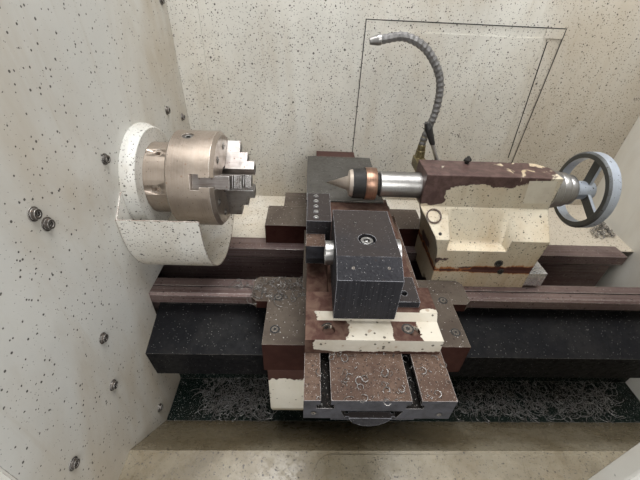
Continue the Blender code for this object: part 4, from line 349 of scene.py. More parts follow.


# Colours of the specks of dirt, and of the bright specks that are painted glints, that several finishes share
SPECK = (0.030, 0.022, 0.018)
PAINTED_GLINT = (0.62, 0.60, 0.57)


def paints(c):
    wall_specks = [(SPECK, 330.0, 0.62, 0.8), (SPECK, 160.0, 0.46, 0.9), (SPECK, 60.0, 0.26, 0.9)]
    # Slopes that make a finish darker towards the bottom
    haze_low = [(0.30, [("Z", 1.05, 0.60)]), (0.10, [("Z", 1.30, 0.85)])]
    slide_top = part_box("cross_slide")[1][2]
    dull = {"Specular IOR Level": 0.05}
    finish(
        "cream wall", c.wall, [v * 0.93 for v in c.wall], specks=wall_specks, scale=3.0, grain=0.05,
        # Darker towards the bottom and towards the back
        haze=(c.haze, 0.6, [(0.24, [("Z", 1.00, 0.50)]), (0.16, [("Y", 0.10, 0.52)])]),
        streaks=(c.haze, 0.22), roughness=(0.38, 0.55), edge=0.5,
    )
    finish(
        "cream splash", c.cream, [v * 0.88 for v in c.cream], specks=wall_specks, scale=3.0, grain=0.08,
        # Darker towards the bottom; the darkening towards the right end is a painted shadow
        haze=(c.haze, 0.55, haze_low + [(0.22, [("X", 0.45, 0.95)])]), streaks=(c.haze, 0.30),
        roughness=(0.40, 0.6), edge=0.6,
    )
    finish(
        "cream sill", (0.27, 0.235, 0.17), (0.19, 0.155, 0.10), scale=6.0, grain=0.2, specks=wall_specks,
        # Darker towards the bottom and towards the headstock end
        haze=((0.085, 0.065, 0.035), 0.8, [(0.26, [("Z", 0.565, 0.50)]), (0.10, [("X", 0.2, -0.4)])]),
        streaks=(c.haze, 0.2), roughness=(0.25, 0.5), edge=1.0, edge_tone=(0.5, 0.46, 0.36),
    )
    finish(
        "tray bottom", (0.016, 0.017, 0.013), (0.008, 0.008, 0.007), shader=dull, scale=14.0, grain=0.4,
        specks=[(PAINTED_GLINT, 300.0, 0.34, 0.8), (PAINTED_GLINT, 600.0, 0.36, 0.8)],
        haze=((0.006, 0.012, 0.010), 0.9, [(0.2, [])]), roughness=(0.2, 0.45), edge=0.6, rough_bump=1.0,
    )
    finish(
        "cream outside", c.cream, [v * 0.94 for v in c.cream], scale=2.5, grain=0.04, roughness=(0.36, 0.5),
        specks=[(SPECK, 90.0, 0.3, 0.6), (SPECK, 30.0, 0.16, 0.7)], streaks=(c.haze, 0.12), edge=1.2,
        haze=(c.haze, 0.5, [(0.28, [("Z", 0.22, 0.03)])]), edge_tone=(0.22, 0.16, 0.12),
    )
    finish(
        "chipped cast", c.cast, [v * 0.9 for v in c.cast], scale=8.0, grain=0.12, edge=0.3, edge_radius=0.004,
        specks=[(SPECK, 330.0, 0.55, 0.7), (SPECK, 150.0, 0.42, 0.85), (SPECK, 70.0, 0.28, 0.9)],
        roughness=(0.42, 0.6), haze=((0.40, 0.26, 0.12), 0.7, [(0.12, []), (0.16, [("Z", 1.02, 0.90)])]),
        streaks=((0.30, 0.19, 0.09), 0.35),
        chips=(
            c.iron, (0.14, 0.085, 0.075), 15.0, -0.27,
            [
                (0.22, [("up", 0.55, 0.8), ("Z", 1.11, 1.14), ("X", 0.60, 0.40)]),
                (0.24, [("up", 0.55, 0.8), ("Z", 1.11, 1.14)]),
                (0.47, [("Z", 1.108, 1.142), ("X", 0.80, 0.34), ("up", 0.8, 0.5)]),
                (0.52, [("X", TAIL_X + 0.095, TAIL_X + 0.035), ("Z", 1.055, 1.080), ("up", 0.6, 0.3)]),
                (0.32, [("X", TAIL_X + 0.150, TAIL_X + 0.080), ("Z", 0.950, 0.932), ("Z", 0.905, 0.920)]),
                (0.30, [("Z", 0.915, 0.904), ("Z", 0.890, 0.899)]),
            ],
        ),
        rust=(
            c.rust, -0.27,
            [
                (0.34, [("Z", 0.925, 0.905), ("Z", 0.878, 0.895), ("X", 0.36, 0.50)]),
                (0.40, [("Z", 0.914, 0.900), ("Z", 0.882, 0.893)]),
                (0.20, [("Z", 0.850, 0.893), ("Z", 0.900, 0.894)]),
                (0.12, [("Z", 0.855, 0.895), ("X", 0.36, 0.46)]),
            ],
        ),
    )
    finish(
        "iron film", c.film, (0.070, 0.044, 0.034), scale=14.0, grain=0.45, metallic=0.1, edge=1.3,
        specks=[(SPECK, 300.0, 0.62, 0.8), (SPECK, 150.0, 0.45, 0.7), (PAINTED_GLINT, 620.0, 0.40, 0.8)],
        chips=((0.050, 0.049, 0.056), (0.024, 0.023, 0.025), 30.0, -0.60, [(1.3, [("front", -0.6, -0.85)])]),
        # Painted shade: faces lower than the cross slide's top that do not look to the front are darkened almost to
        # black
        haze=(
            (0.008, 0.007, 0.006), 1.0,
            [(1.2, [("Z", slide_top - 0.002, slide_top - 0.007), ("front", -0.8, -0.3)]), (-0.3, [])],
        ),
        roughness=(0.48, 0.68), edge_tone=(0.45, 0.42, 0.40), rough_bump=0.25, shader=dull,
    )
    finish(
        "way film", (0.17, 0.115, 0.105), (0.10, 0.060, 0.058), shader={"Specular IOR Level": 0.25},
        scale=6.0, grain=0.3, metallic=0.55, edge=1.6, lines=((1.5, 160.0, 160.0), 0.35, (0.32, 0.27, 0.25)),
        roughness=(0.28, 0.5), specks=[(SPECK, 110.0, 0.42, 0.7), (PAINTED_GLINT, 260.0, 0.34, 0.7)],
        edge_tone=(0.45, 0.41, 0.38),
    )
    finish(
        "saddle iron", (0.098, 0.080, 0.064), (0.066, 0.051, 0.041), shader=dull, scale=7.0, grain=0.3,
        metallic=0.05, edge=1.0, specks=[(SPECK, 150.0, 0.42, 0.7), (PAINTED_GLINT, 230.0, 0.33, 0.7)],
        roughness=(0.36, 0.55),
        chips=((0.030, 0.011, 0.009), (0.042, 0.017, 0.013), 22.0, -0.40, [(0.9, [("front", -0.6, -0.85)])]),
        chip_metal=0.1, edge_tone=(0.26, 0.22, 0.18),
    )
    finish(
        "riser paint", (0.52, 0.48, 0.40), (0.42, 0.37, 0.29), scale=12.0, grain=0.15, edge=0.4,
        specks=[(SPECK, 120.0, 0.42, 0.8), ((0.20, 0.12, 0.07), 60.0, 0.36, 0.5)], roughness=(0.42, 0.6),
        chips=(
            (0.060, 0.030, 0.024), (0.115, 0.072, 0.054), 26.0, 0.36,
            [
                (-0.62, [("up", 0.5, 0.9), ("Y", -0.252, -0.274), ("X", SLIDE_X + 0.050, SLIDE_X + 0.105)]),
                (
                    -0.66,
                    [("front", -0.5, -0.9), ("Z", 0.976, 0.996), ("X", SLIDE_X - 0.005, SLIDE_X + 0.040)],
                ),
                (
                    0.52,
                    [
                        ("up", 0.5, 0.9),
                        ("X", SLIDE_X + 0.155, SLIDE_X + 0.175),
                        ("X", SLIDE_X + 0.240, SLIDE_X + 0.200),
                    ],
                ),
            ],
        ),
        shader=dull,
    )
    finish(
        "apron paint", (0.62, 0.58, 0.49), (0.55, 0.50, 0.40), scale=6.0, grain=0.1, edge=0.8,
        specks=[(SPECK, 120.0, 0.36, 0.8), (SPECK, 34.0, 0.2, 0.9)], roughness=(0.4, 0.6),
        haze=((0.30, 0.23, 0.10), 0.7, [(0.35, [("Z", 0.62, 0.55)])]),
        chips=((0.045, 0.014, 0.011), (0.06, 0.022, 0.016), 20.0, -0.34, [(0.50, [("Z", 0.706, 0.764)])]),
    )
    finish(
        "guard paint", (0.63, 0.61, 0.56), (0.55, 0.53, 0.48), scale=5.0, grain=0.08, edge=1.4,
        specks=wall_specks, roughness=(0.36, 0.55),
        haze=((0.36, 0.28, 0.17), 0.65, [(0.20, [("Z", 1.00, 0.90)])]), edge_tone=(0.13, 0.07, 0.045),
        streaks=(c.haze, 0.3), edge_radius=0.003,
    )
    finish(
        "black cover", (0.009, 0.009, 0.010), (0.016, 0.0155, 0.0155), scale=7.0, grain=0.3, edge=1.0,
        shader=dull, specks=[((0.30, 0.29, 0.27), 260.0, 0.32, 0.6), ((0.12, 0.11, 0.10), 50.0, 0.2, 0.5)],
        roughness=(0.45, 0.65), edge_tone=(0.10, 0.09, 0.08), streaks=((0.028, 0.027, 0.025), 0.4),
    )
    finish(
        "oiled tool steel", c.gunmetal, [v * 0.6 for v in c.gunmetal], scale=12.0, grain=0.3, edge=2.2,
        shader=dull, lines=((260.0, 260.0, 6.0), 0.5, (0.040, 0.039, 0.043)), roughness=(0.50, 0.70),
        # Upward faces get a lighter brown tone
        haze=((0.042, 0.034, 0.030), 0.8, [(0.24, [("up", 0.9, 0.98)])]), edge_tone=(0.34, 0.34, 0.36),
        edge_radius=0.0014, specks=[(PAINTED_GLINT, 420.0, 0.30, 0.5), (SPECK, 90.0, 0.3, 0.6)],
    )
    finish(
        "cover grey", (0.085, 0.080, 0.072), (0.060, 0.055, 0.048), shader={"Specular IOR Level": 0.15},
        scale=8.0, grain=0.25, metallic=0.3, edge=1.2,
        specks=[(PAINTED_GLINT, 240.0, 0.28, 0.5), (SPECK, 80.0, 0.35, 0.7)], roughness=(0.36, 0.52),
    )
    finish(
        "chuck steel", (0.40, 0.33, 0.27), (0.26, 0.21, 0.17), scale=10.0, grain=0.25, metallic=0.75,
        edge=1.4, lines=((420.0, 9.0, 9.0), 0.4, (0.42, 0.37, 0.32)), roughness=(0.30, 0.46),
        specks=[(SPECK, 200.0, 0.34, 0.6), ((0.22, 0.10, 0.05), 110.0, 0.3, 0.5)],
        edge_tone=(0.62, 0.58, 0.53),
    )
    steel = dict(scale=9.0, grain=0.15, metallic=0.9, edge=1.2, edge_tone=(0.75, 0.74, 0.72))
    finish(
        "turned steel", [v * 0.72 for v in c.steel], [v * 0.5 for v in c.steel],
        lines=((520.0, 8.0, 8.0), 0.35, (0.22, 0.20, 0.185)), roughness=(0.28, 0.42),
        specks=[((0.12, 0.08, 0.06), 190.0, 0.3, 0.5)], **steel,
    )
    finish(
        "point steel", (0.44, 0.37, 0.30), (0.30, 0.245, 0.20),
        lines=((420.0, 9.0, 9.0), 0.4, (0.5, 0.45, 0.4)), scale=20.0, grain=0.2, metallic=0.3, edge=1.0,
        roughness=(0.32, 0.5), edge_tone=(0.6, 0.55, 0.5),
    )
    finish(
        "ground steel", (0.27, 0.26, 0.25), (0.15, 0.13, 0.12),
        lines=((14.0, 300.0, 300.0), 0.35, (0.42, 0.41, 0.40)), roughness=(0.30, 0.48),
        specks=[((0.10, 0.06, 0.04), 170.0, 0.42, 0.8)], haze=((0.10, 0.065, 0.045), 0.7, [(0.1, [])]),
        **steel,
    )
    finish(
        "wheel rim", (0.47, 0.52, 0.60), (0.38, 0.42, 0.48),
        lines=((380.0, 6.0, 6.0), 0.2, (0.60, 0.64, 0.70)),
        # The faces that look towards the headstock are darkened to dark grey
        haze=((0.075, 0.075, 0.068), 1.0, [(-0.3, []), (1.1, [("side", -0.5, -0.9)])]),
        roughness=(0.34, 0.48), specks=[(SPECK, 140.0, 0.36, 0.9), (SPECK, 300.0, 0.4, 0.8)], scale=7.0,
        grain=0.08, metallic=0.5, edge=1.0, edge_tone=(0.16, 0.14, 0.12), bump=0.0002, rough_bump=0.03,
    )
    finish(
        "milled aluminium", (0.62, 0.62, 0.62), (0.48, 0.48, 0.48),
        lines=((260.0, 10.0, 10.0), 0.3, (0.75, 0.75, 0.75)), roughness=(0.24, 0.4), scale=9.0, grain=0.12,
        metallic=0.8, edge=1.0, edge_tone=(0.8, 0.8, 0.8), specks=[(SPECK, 220.0, 0.3, 0.6)],
        rust=(c.rust, -0.36, [(0.14, [("Z", 0.87, 0.885)])]), bump=0.0002,
    )
    finish(
        "old brass", (0.24, 0.20, 0.10), (0.14, 0.11, 0.06), scale=30.0, grain=0.3, metallic=0.7, edge=1.5,
        roughness=(0.3, 0.55), specks=[(SPECK, 200.0, 0.4, 0.8)], rust=(c.rust, -0.16, []),
        edge_tone=(0.5, 0.42, 0.22),
    )
    finish(
        "conduit", (0.20, 0.195, 0.19), (0.14, 0.135, 0.13), scale=40.0, grain=0.2, metallic=0.45, edge=0.4,
        roughness=(0.34, 0.5), specks=[(SPECK, 260.0, 0.4, 0.7)],
    )
    # Dark finish of black parts, also used for the painted shade round and on sunk screws
    finish(
        "dark finish and painted shade", (0.020, 0.019, 0.018), (0.035, 0.032, 0.028), shader={"Specular IOR Level": 0.2}, scale=30.0,
        grain=0.3, edge=0.4, roughness=(0.5, 0.7), specks=[((0.12, 0.11, 0.10), 240.0, 0.3, 0.5)],
        edge_tone=(0.1, 0.1, 0.1),
    )
    finish(
        "lever black and steel", (0.018, 0.018, 0.019), (0.030, 0.029, 0.028), scale=20.0, grain=0.2,
        edge=0.8, shader={"Specular IOR Level": 0.4}, roughness=(0.28, 0.42), edge_tone=(0.12, 0.11, 0.10),
        chip_metal=0.9,
        chips=(
            c.steel, [v * 0.7 for v in c.steel], 20.0, -0.6,
            [(1.4, [("Z", 1.1895, 1.1880), ("Z", 1.1400, 1.1415)])],
        ),
    )
    finish(
        "bright swarf", (0.34, 0.33, 0.32), (0.10, 0.095, 0.09), scale=60.0, grain=0.3, metallic=0.6,
        edge=0.2, roughness=(0.22, 0.45), specks=[(SPECK, 300.0, 0.4, 0.7)],
    )
    finish(
        "screw steel", (0.065, 0.058, 0.052), (0.12, 0.10, 0.085), shader={"Specular IOR Level": 0.3},
        scale=40.0, grain=0.3, metallic=0.6, edge=1.6, roughness=(0.3, 0.5),
        specks=[((0.25, 0.13, 0.06), 300.0, 0.4, 0.6)], edge_tone=(0.40, 0.38, 0.35),
    )
    finish(
        "worn screw", (0.15, 0.125, 0.10), (0.085, 0.068, 0.055), scale=50.0, grain=0.3, metallic=0.5,
        edge=1.6, roughness=(0.3, 0.5), specks=[((0.25, 0.13, 0.06), 300.0, 0.3, 0.5)],
        edge_tone=(0.45, 0.42, 0.38), edge_radius=0.0006,
    )
    finish(
        "swarf steel", (0.30, 0.29, 0.28), (0.12, 0.11, 0.105), scale=60.0, grain=0.4, metallic=0.8, edge=0.2,
        roughness=(0.22, 0.5), specks=[(SPECK, 300.0, 0.5, 0.8)],
    )
    finish(
        "copper band", c.copper, [v * 0.6 for v in c.copper], scale=20.0, grain=0.3, metallic=0.7, edge=0.6,
        lines=((420.0, 10.0, 10.0), 0.3, (0.55, 0.33, 0.22)), roughness=(0.28, 0.45),
        specks=[(SPECK, 200.0, 0.4, 0.7)], edge_tone=(0.6, 0.4, 0.3),
    )
    finish(
        "plain sticker", (0.66, 0.61, 0.50), (0.58, 0.52, 0.42), scale=20.0, grain=0.1, edge=0.0,
        roughness=(0.34, 0.5), specks=[(SPECK, 160.0, 0.34, 0.7)], streaks=(c.haze, 0.3),
    )
    finish(
        "belt rubber", (0.018, 0.018, 0.018), (0.03, 0.03, 0.03), shader={"Specular IOR Level": 0.2},
        scale=20.0, grain=0.3, edge=0.4, lines=((300.0, 4.0, 4.0), 0.3, (0.05, 0.05, 0.05)),
        roughness=(0.6, 0.8), edge_tone=(0.08, 0.08, 0.08),
    )
    window_glass()


def window_glass():
    """Clear window with cloudy coolant dirt and drops."""
    tree, surface = shader_of("hazed glass")
    where = add(tree, "TexCoord").outputs["Object"]
    drops = use(tree, "speckle", {"Vector": where, "Scale": 90.0, "Amount": 0.5})[0]
    cloud = use(tree, "mottle", {"Vector": where, "Scale": 7.0, "Low": 0.35, "High": 0.75})[0]
    dirt = maths(tree, "MAXIMUM", maths(tree, "MULTIPLY", cloud, 0.35), drops)
    put(tree, surface["Base Color"], mix(tree, dirt, (0.82, 0.86, 0.84), (0.45, 0.42, 0.35)))
    put(tree, surface["Roughness"], ramp(tree, dirt, 0.0, 1.0, 0.04, 0.5))
    put(tree, surface["Alpha"], ramp(tree, dirt, 0.0, 1.0, 0.30, 0.62))
    surface["IOR"].default_value = 1.5


NODE_FINISHES = {
    "cream outside": (
        "base_cabinet headstock_casing headstock_front_cover right_front_cover right_end_wall"
        " upper_rail right_door left_door"
    ),
    "cream wall": "headstock_wall spindle_collar",
    "cream splash": "back_splash corner_strip splash_access_panel",
    "cream sill": "front_sill",
    "tray bottom": "chip_tray",
    "guard paint": "chuck_guard",
    "chipped cast": "tailstock_base tailstock_body",
    "iron film": "cross_slide headstock_casting turning_tool",
    "way film": "bed",
    "saddle iron": "saddle",
    "riser paint": "riser_block",
    "apron paint": "apron cross_motor_box",
    "black cover": "screw_cover spindle_motor",
    "lever black and steel": "quill_lock_lever",
    "oiled tool steel": "tool_block block_clamp turning_holder slide_end_cap spindle_pulley motor_pulley",
    "cover grey": "rear_cover",
    "chuck steel": "chuck_body spindle",
    "point steel": "live_centre_point",
    "turned steel": "quill boring_sleeve bed_leadscrew cross_screw tailstock_dial hose_nozzle",
    "ground steel": "chuck_jaw_1 chuck_jaw_2 chuck_jaw_3 chuck_scroll key_pinion_1 key_pinion_2 key_pinion_3",
    "wheel rim": "handwheel",
    "milled aluminium": "tailstock_end_block",
    "old brass": "hose_valve",
    "dark finish and painted shade": "live_centre_body",
    "conduit": "coolant_hose",
    "belt rubber": "drive_belt",
    "hazed glass": "right_door_window left_door_window",
}
# Nodes whose faceted skin is replaced by a smooth one
ROUND_NODES = (
    "spindle_collar spindle chuck_body quill live_centre_body live_centre_point boring_sleeve tailstock_dial handwheel"
    " hose_nozzle quill_lock_lever slide_end_cap chuck_guard spindle_pulley motor_pulley spindle_motor bed_leadscrew"
    " cross_screw chuck_scroll tailstock_body"
).split()


# ---------------------------------------------------------------- mesh helpers
def mesh_of(name, bm):
    mesh = bpy.data.meshes.new(name)
    bm.to_mesh(mesh)
    bm.free()
    return mesh


def piece(name, bm, finish_name, body, crease=35, replaced=()):
    """Turns a bmesh into a smooth-shaded piece at the origin that rides on a body."""
    bmesh.ops.remove_doubles(bm, verts=bm.verts, dist=1e-6)
    bmesh.ops.recalc_face_normals(bm, faces=bm.faces)
    mesh = mesh_of(name, bm)
    mesh.materials.append(bpy.data.materials[finish_name])
    mesh.shade_smooth()
    mesh.set_sharp_from_angle(angle=radians(crease))
    obj = bpy.data.objects.new(name, mesh)
    bpy.context.scene.collection.objects.link(obj)
    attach(obj, body)
    if replaced:
        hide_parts(*replaced)


def along(direction, place):
    turn = Vector((0, 0, 1)).rotation_difference(Vector(direction)).to_matrix().to_4x4()
    return Matrix.Translation(place) @ turn


def spun(bm, profile, matrix, steps=48):
    """A closed (radius, along) profile turned round the matrix's Z axis."""
    points = [bm.verts.new((radius, 0, rise)) for radius, rise in profile]
    edges = [bm.edges.new((a, b)) for a, b in zip(points, points[1:])]
    made = bmesh.ops.spin(
        bm, geom=points + edges, cent=(0, 0, 0), axis=(0, 0, 1), dvec=(0, 0, 0),
        angle=2 * pi, steps=steps, use_merge=True, use_duplicate=False,
    )
    verts = {v for v in made["geom_last"] if isinstance(v, bmesh.types.BMVert)} | set(points)
    reach = set(verts)
    stack = list(verts)
    while stack:
        for edge in stack.pop().link_edges:
            for vert in edge.verts:
                if vert not in reach:
                    reach.add(vert)
                    stack.append(vert)
    bmesh.ops.remove_doubles(bm, verts=list(reach), dist=1e-6)
    alive = [v for v in reach if v.is_valid]
    bmesh.ops.transform(bm, matrix=matrix, verts=alive)


def collar(bm, matrix, outer, inner, low, high, steps):
    """A ring of square section round the matrix's Z axis, from low to high."""
    spun(bm, [(outer, low), (outer, high), (inner, high), (inner, low), (outer, low)], matrix, steps)


def cylinder(bm, matrix, sides, radius, depth, taper=1.0):
    """A capped cylinder, narrowed by the taper, centred on the matrix and along its Z axis."""
    made = bmesh.ops.create_cone(
        bm, cap_ends=True, segments=sides, radius1=radius, radius2=radius * taper, depth=depth, matrix=matrix
    )
    return made["verts"]


def round_off(bm, geom, offset, segments, affect):
    bmesh.ops.bevel(
        bm, geom=geom, offset=offset, segments=segments, profile=0.5, affect=affect, material=-1,
        offset_type="OFFSET",
    )


def rim(bm, face, width, thickness):
    """Leaves only a rim of a lone face, and gives it a thickness."""
    bmesh.ops.inset_region(bm, faces=[face], thickness=width, use_boundary=True, use_even_offset=True)
    bmesh.ops.delete(bm, geom=[face], context="FACES_ONLY")
    bmesh.ops.solidify(bm, geom=list(bm.faces), thickness=thickness)


def strip(rows):
    """A thin sheet through rows of two places each."""
    bm = bmesh.new()
    rows = [[bm.verts.new(place) for place in row] for row in rows]
    for upper, lower in zip(rows, rows[1:]):
        bm.faces.new([upper[0], upper[1], lower[1], lower[0]])
    bmesh.ops.solidify(bm, geom=list(bm.faces), thickness=0.0004)
    return bm


def cap_screw(bm, place, direction, radius, rise, socket_share=0.55):
    """A round screw head with a chamfered rim and a round socket."""
    head = cylinder(bm, along(direction, place) @ Matrix.Translation((0, 0, rise / 2)), 24, radius, rise, 0.90)
    top = max(
        {f for v in head for f in v.link_faces},
        key=lambda f: (f.calc_center_median() - Vector(place)).dot(Vector(direction)),
    )
    for width, depth in ((radius * (1 - socket_share) * 0.9, 0), (radius * 0.03, -rise * 0.75)):
        bmesh.ops.inset_region(bm, faces=[top], thickness=width, depth=depth, use_even_offset=True)


def counterbore_shade_ring(bm, place, direction, radius):
    """Painted shade: a thin dark ring that stands for the shadowed wall of a counterbored hole."""
    collar(bm, along(direction, place), radius, radius * 0.82, 0, 0.0006, 32)


def sight():
    """The camera's right, downward and forward directions."""
    forward = Vector((sin(YAW) * cos(PITCH), cos(YAW) * cos(PITCH), -sin(PITCH)))
    level = Vector((cos(YAW), -sin(YAW), 0))
    down = forward.cross(level)
    right = cos(ROLL) * level + sin(ROLL) * down
    fall = -sin(ROLL) * level + cos(ROLL) * down
    return right, fall, forward


def painted_shade_well(bm, place, direction, well, head, rise):
    """Painted shade: a dark ring round a sunk screw for its shadowed counterbored hole, and a dark hexagon for the
    shade in its socket.
    """
    place, direction = Vector(place), Vector(direction)
    collar(bm, along(direction, place + direction * 0.0001), well, head * 1.04, 0, 0.0007, 36)
    cylinder(bm, along(direction, place + direction * (rise + 0.0001)), 6, head * 0.52, 0.0003)


SHAPES = {
    n: BVHTree.FromPolygons([v.co for v in o.data.vertices], [p.vertices for p in o.data.polygons])
    for n, o in frame["nodes"].items()
}


def seen_at(x, y, only=None):
    """(place, normal, node) of the solid that the camera sees at a point of the picture."""
    right, fall, forward = sight()
    ray = (right * (x - PICTURE[0] / 2) + fall * (y - PICTURE[1] / 2)) / FOCAL + forward
    ray.normalize()
    best = None
    for name, shape in SHAPES.items():
        if (only and name not in only) or "window" in name:
            continue
        place, normal, _, _ = shape.ray_cast(EYE, ray)
        if place and (best is None or (place - EYE).length < (best[0] - EYE).length):
            best = (place, normal, name)
    return best


class Piece(bpy.types.Operator):
    """Shared by every piece's operator."""

    bl_options = {"REGISTER", "UNDO"}

    def execute(self, context):
        self.make(context.scene.lathe_colours, context.scene.lathe_sizes)
        return {"FINISHED"}


class LATHE_OT_solids(Piece):
    """Give each solid its finish, and round solids a smooth skin"""

    bl_idname = "lathe.solids"
    bl_label = "Finish the solids"

    def make(self, colours, sizes):
        make_effects()
        paints(colours)
        for finish_name, names in NODE_FINISHES.items():
            for name in names.split():
                node = frame["nodes"][name]
                for slot in node.material_slots:
                    slot.material = bpy.data.materials[finish_name]
                if name not in ROUND_NODES:
                    continue
                bm = bmesh.new()
                bm.from_mesh(node.data)
                bmesh.ops.remove_doubles(bm, verts=bm.verts, dist=2e-6)
                bmesh.ops.dissolve_limit(bm, angle_limit=radians(0.4), verts=bm.verts, edges=bm.edges)
                piece(name + "_skin", bm, finish_name, BODY_OF[name], 30, [name])


class LATHE_OT_wall_bolts(Piece):
    """Socket-head bolts that hold the headstock wall"""

    bl_idname = "lathe.wall_bolts"
    bl_label = "Wall bolts"
    # Across and up from the spindle's axis
    places = (
        (-0.377, 0.124), (-0.363, 0.095), (-0.150, 0.117), (0.230, 0.107), (0.343, 0.052), (-0.376, -0.195),
        (-0.414, -0.317), (-0.317, -0.614), (-0.410, -0.609), (-0.574, -0.316), (0.361, 0.378),
    )
    washer = [(0, 0), (0.0125, 0), (0.0125, 0.0012), (0.011, 0.0018), (0, 0.0018)]

    def make(self, colours, sizes):
        bm = bmesh.new()
        for y, z in self.places:
            place = Vector((FACE, AXIS_Y + y, AXIS_Z + z))
            spun(bm, self.washer, along((1, 0, 0), place), 24)
            seat = place + Vector((self.washer[-1][1], 0, 0))
            cap_screw(bm, seat, (1, 0, 0), sizes.wall_bolt, 0.006)
        piece("wall_bolts", bm, "screw steel", "frame")


class LATHE_OT_chuck_screws(Piece):
    """Mounting screws in the chuck's face"""

    bl_idname = "lathe.chuck_screws"
    bl_label = "Chuck screws"
    starts = (83, 203, 323)
    circle = 0.088

    def make(self, colours, sizes):
        bm = bmesh.new()
        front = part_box("chuck_body")[1][0]
        for start in self.starts:
            for turn in (-24, 24):
                angle = radians(start + turn)
                out = Vector((0, -cos(angle), sin(angle)))
                place = Vector((front, AXIS_Y, AXIS_Z)) + out * self.circle
                # Painted shade ring for the counterbored hole round each screw
                counterbore_shade_ring(bm, place, (1, 0, 0), 0.0105)
                cap_screw(bm, place, (1, 0, 0), 0.0078, 0.0022)
        piece("chuck_screws", bm, "screw steel", "spindle_group")


class LATHE_OT_slide_screws(Piece):
    """Cap screws in the saddle, riser, cross slide and tool holders"""

    bl_idname = "lathe.slide_screws"
    bl_label = "Saddle and slide screws"
    # Places in the photograph's frame
    saddle = ((274.8, 329.4), (278.3, 297.2), (455.6, 332.4), (442.9, 300.6))
    riser = ((326.2, 326.8), (407.7, 328.9))
    front = ((313.5, 412.8), (439.0, 414.4))
    block = ((353.3, 268.1), (389.3, 268.4), (355.2, 222.5))

    def screws(self, name, places, nodes, body, radius, rise, well):
        heads, shade_marks = bmesh.new(), bmesh.new()
        for x, y in places:
            place, normal, _ = seen_at(x, y, nodes)
            painted_shade_well(shade_marks, place, normal, well, radius, rise)
            cap_screw(heads, place, normal, radius, rise)
        piece(name, heads, "worn screw", body)
        # Dark rings and hexagons that are painted shade of the counterbored holes and sockets
        piece(name + "_painted_shade", shade_marks, "dark finish and painted shade", body)

    def make(self, colours, sizes):
        slide = "cross_slide_group"
        self.screws("saddle_screws", self.saddle, ["saddle"], "carriage", sizes.cap_screw, 0.0016, 0.0118)
        self.screws("riser_screws", self.riser, ["riser_block"], slide, 0.0088, 0.0016, 0.0118)
        self.screws("slide_front_screws", self.front, ["cross_slide"], slide, 0.0040, 0.0012, 0.0056)
        self.screws("block_screws", self.block, ["tool_block"], slide, 0.0024, 0.0006, 0.0034)
        bm = bmesh.new()
        bolt = Vector((SLIDE_X + 0.11232, AXIS_Y - 0.330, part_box("tool_block")[1][2] - 0.012))
        cap_screw(bm, bolt, (0, 0, 1), 0.0125, 0.0095, 0.6)
        piece("block_bolt", bm, "turned steel", slide)
        bm = bmesh.new()
        for i in range(5):
            y = AXIS_Y - 0.206 + i * 0.02325
            place = Vector((SLIDE_X + 0.018, y, AXIS_Z + 0.016))
            cap_screw(bm, place, (0, 0, 1), sizes.set_screw, 0.0062, 0.6)
        piece("set_screws", bm, "turned steel", slide)


class LATHE_OT_tailstock_fittings(Piece):
    """Set-over screws, top knob and bare sticker on the tailstock"""

    bl_idname = "lathe.tailstock_fittings"
    bl_label = "Tailstock fittings"
    # Places in the photograph's frame, with a radius for each screw and a left and right end for each sticker row
    screws = (((498.7, 263.6), 0.0095), ((500.5, 271.5), 0.0075), ((440.2, 233.9), 0.0035))
    plug = (434.2, 215.9)
    sticker = ((181.0, 529.5, 557.5), (190.0, 526.8, 554.6), (199.0, 524.0, 551.8), (203.5, 522.6, 550.4))
    knob = [(0, 0), (0.006, 0), (0.006, 0.004), (0.0115, 0.008), (0.0115, 0.011), (0.003, 0.021), (0, 0.021)]

    def make(self, colours, sizes):
        bm = bmesh.new()
        for (x, y), radius in self.screws:
            place, normal, _ = seen_at(x, y, ["tailstock_body", "tailstock_base"])
            # Painted shade ring for the counterbored hole round each screw
            counterbore_shade_ring(bm, place, normal, radius * 1.3)
            cap_screw(bm, place, normal, radius, 0.0016, 0.6)
        piece("set_over_screws", bm, "dark finish and painted shade", "tailstock")
        bm = bmesh.new()
        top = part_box("tailstock_body")[1][2]
        spun(bm, self.knob, along((0, 0, 1), Vector((0.380, AXIS_Y + 0.032, top))), 4)
        piece("oiler_knob", bm, "dark finish and painted shade", "tailstock", 20)
        bm = bmesh.new()
        place, normal, _ = seen_at(*self.plug, ["tailstock_body"])
        collar(bm, along(normal, place), 0.0212, 0.0170, -0.003, 0.0004, 48)
        piece("plug_ring", bm, "iron film", "tailstock")
        rows = []
        for y, *ends in self.sticker:
            found = [seen_at(x, y, ["tailstock_body"]) for x in ends]
            rows.append([place + normal * 0.0003 for place, normal, _ in found])
        piece("plain_sticker", strip(rows), "plain sticker", "tailstock")


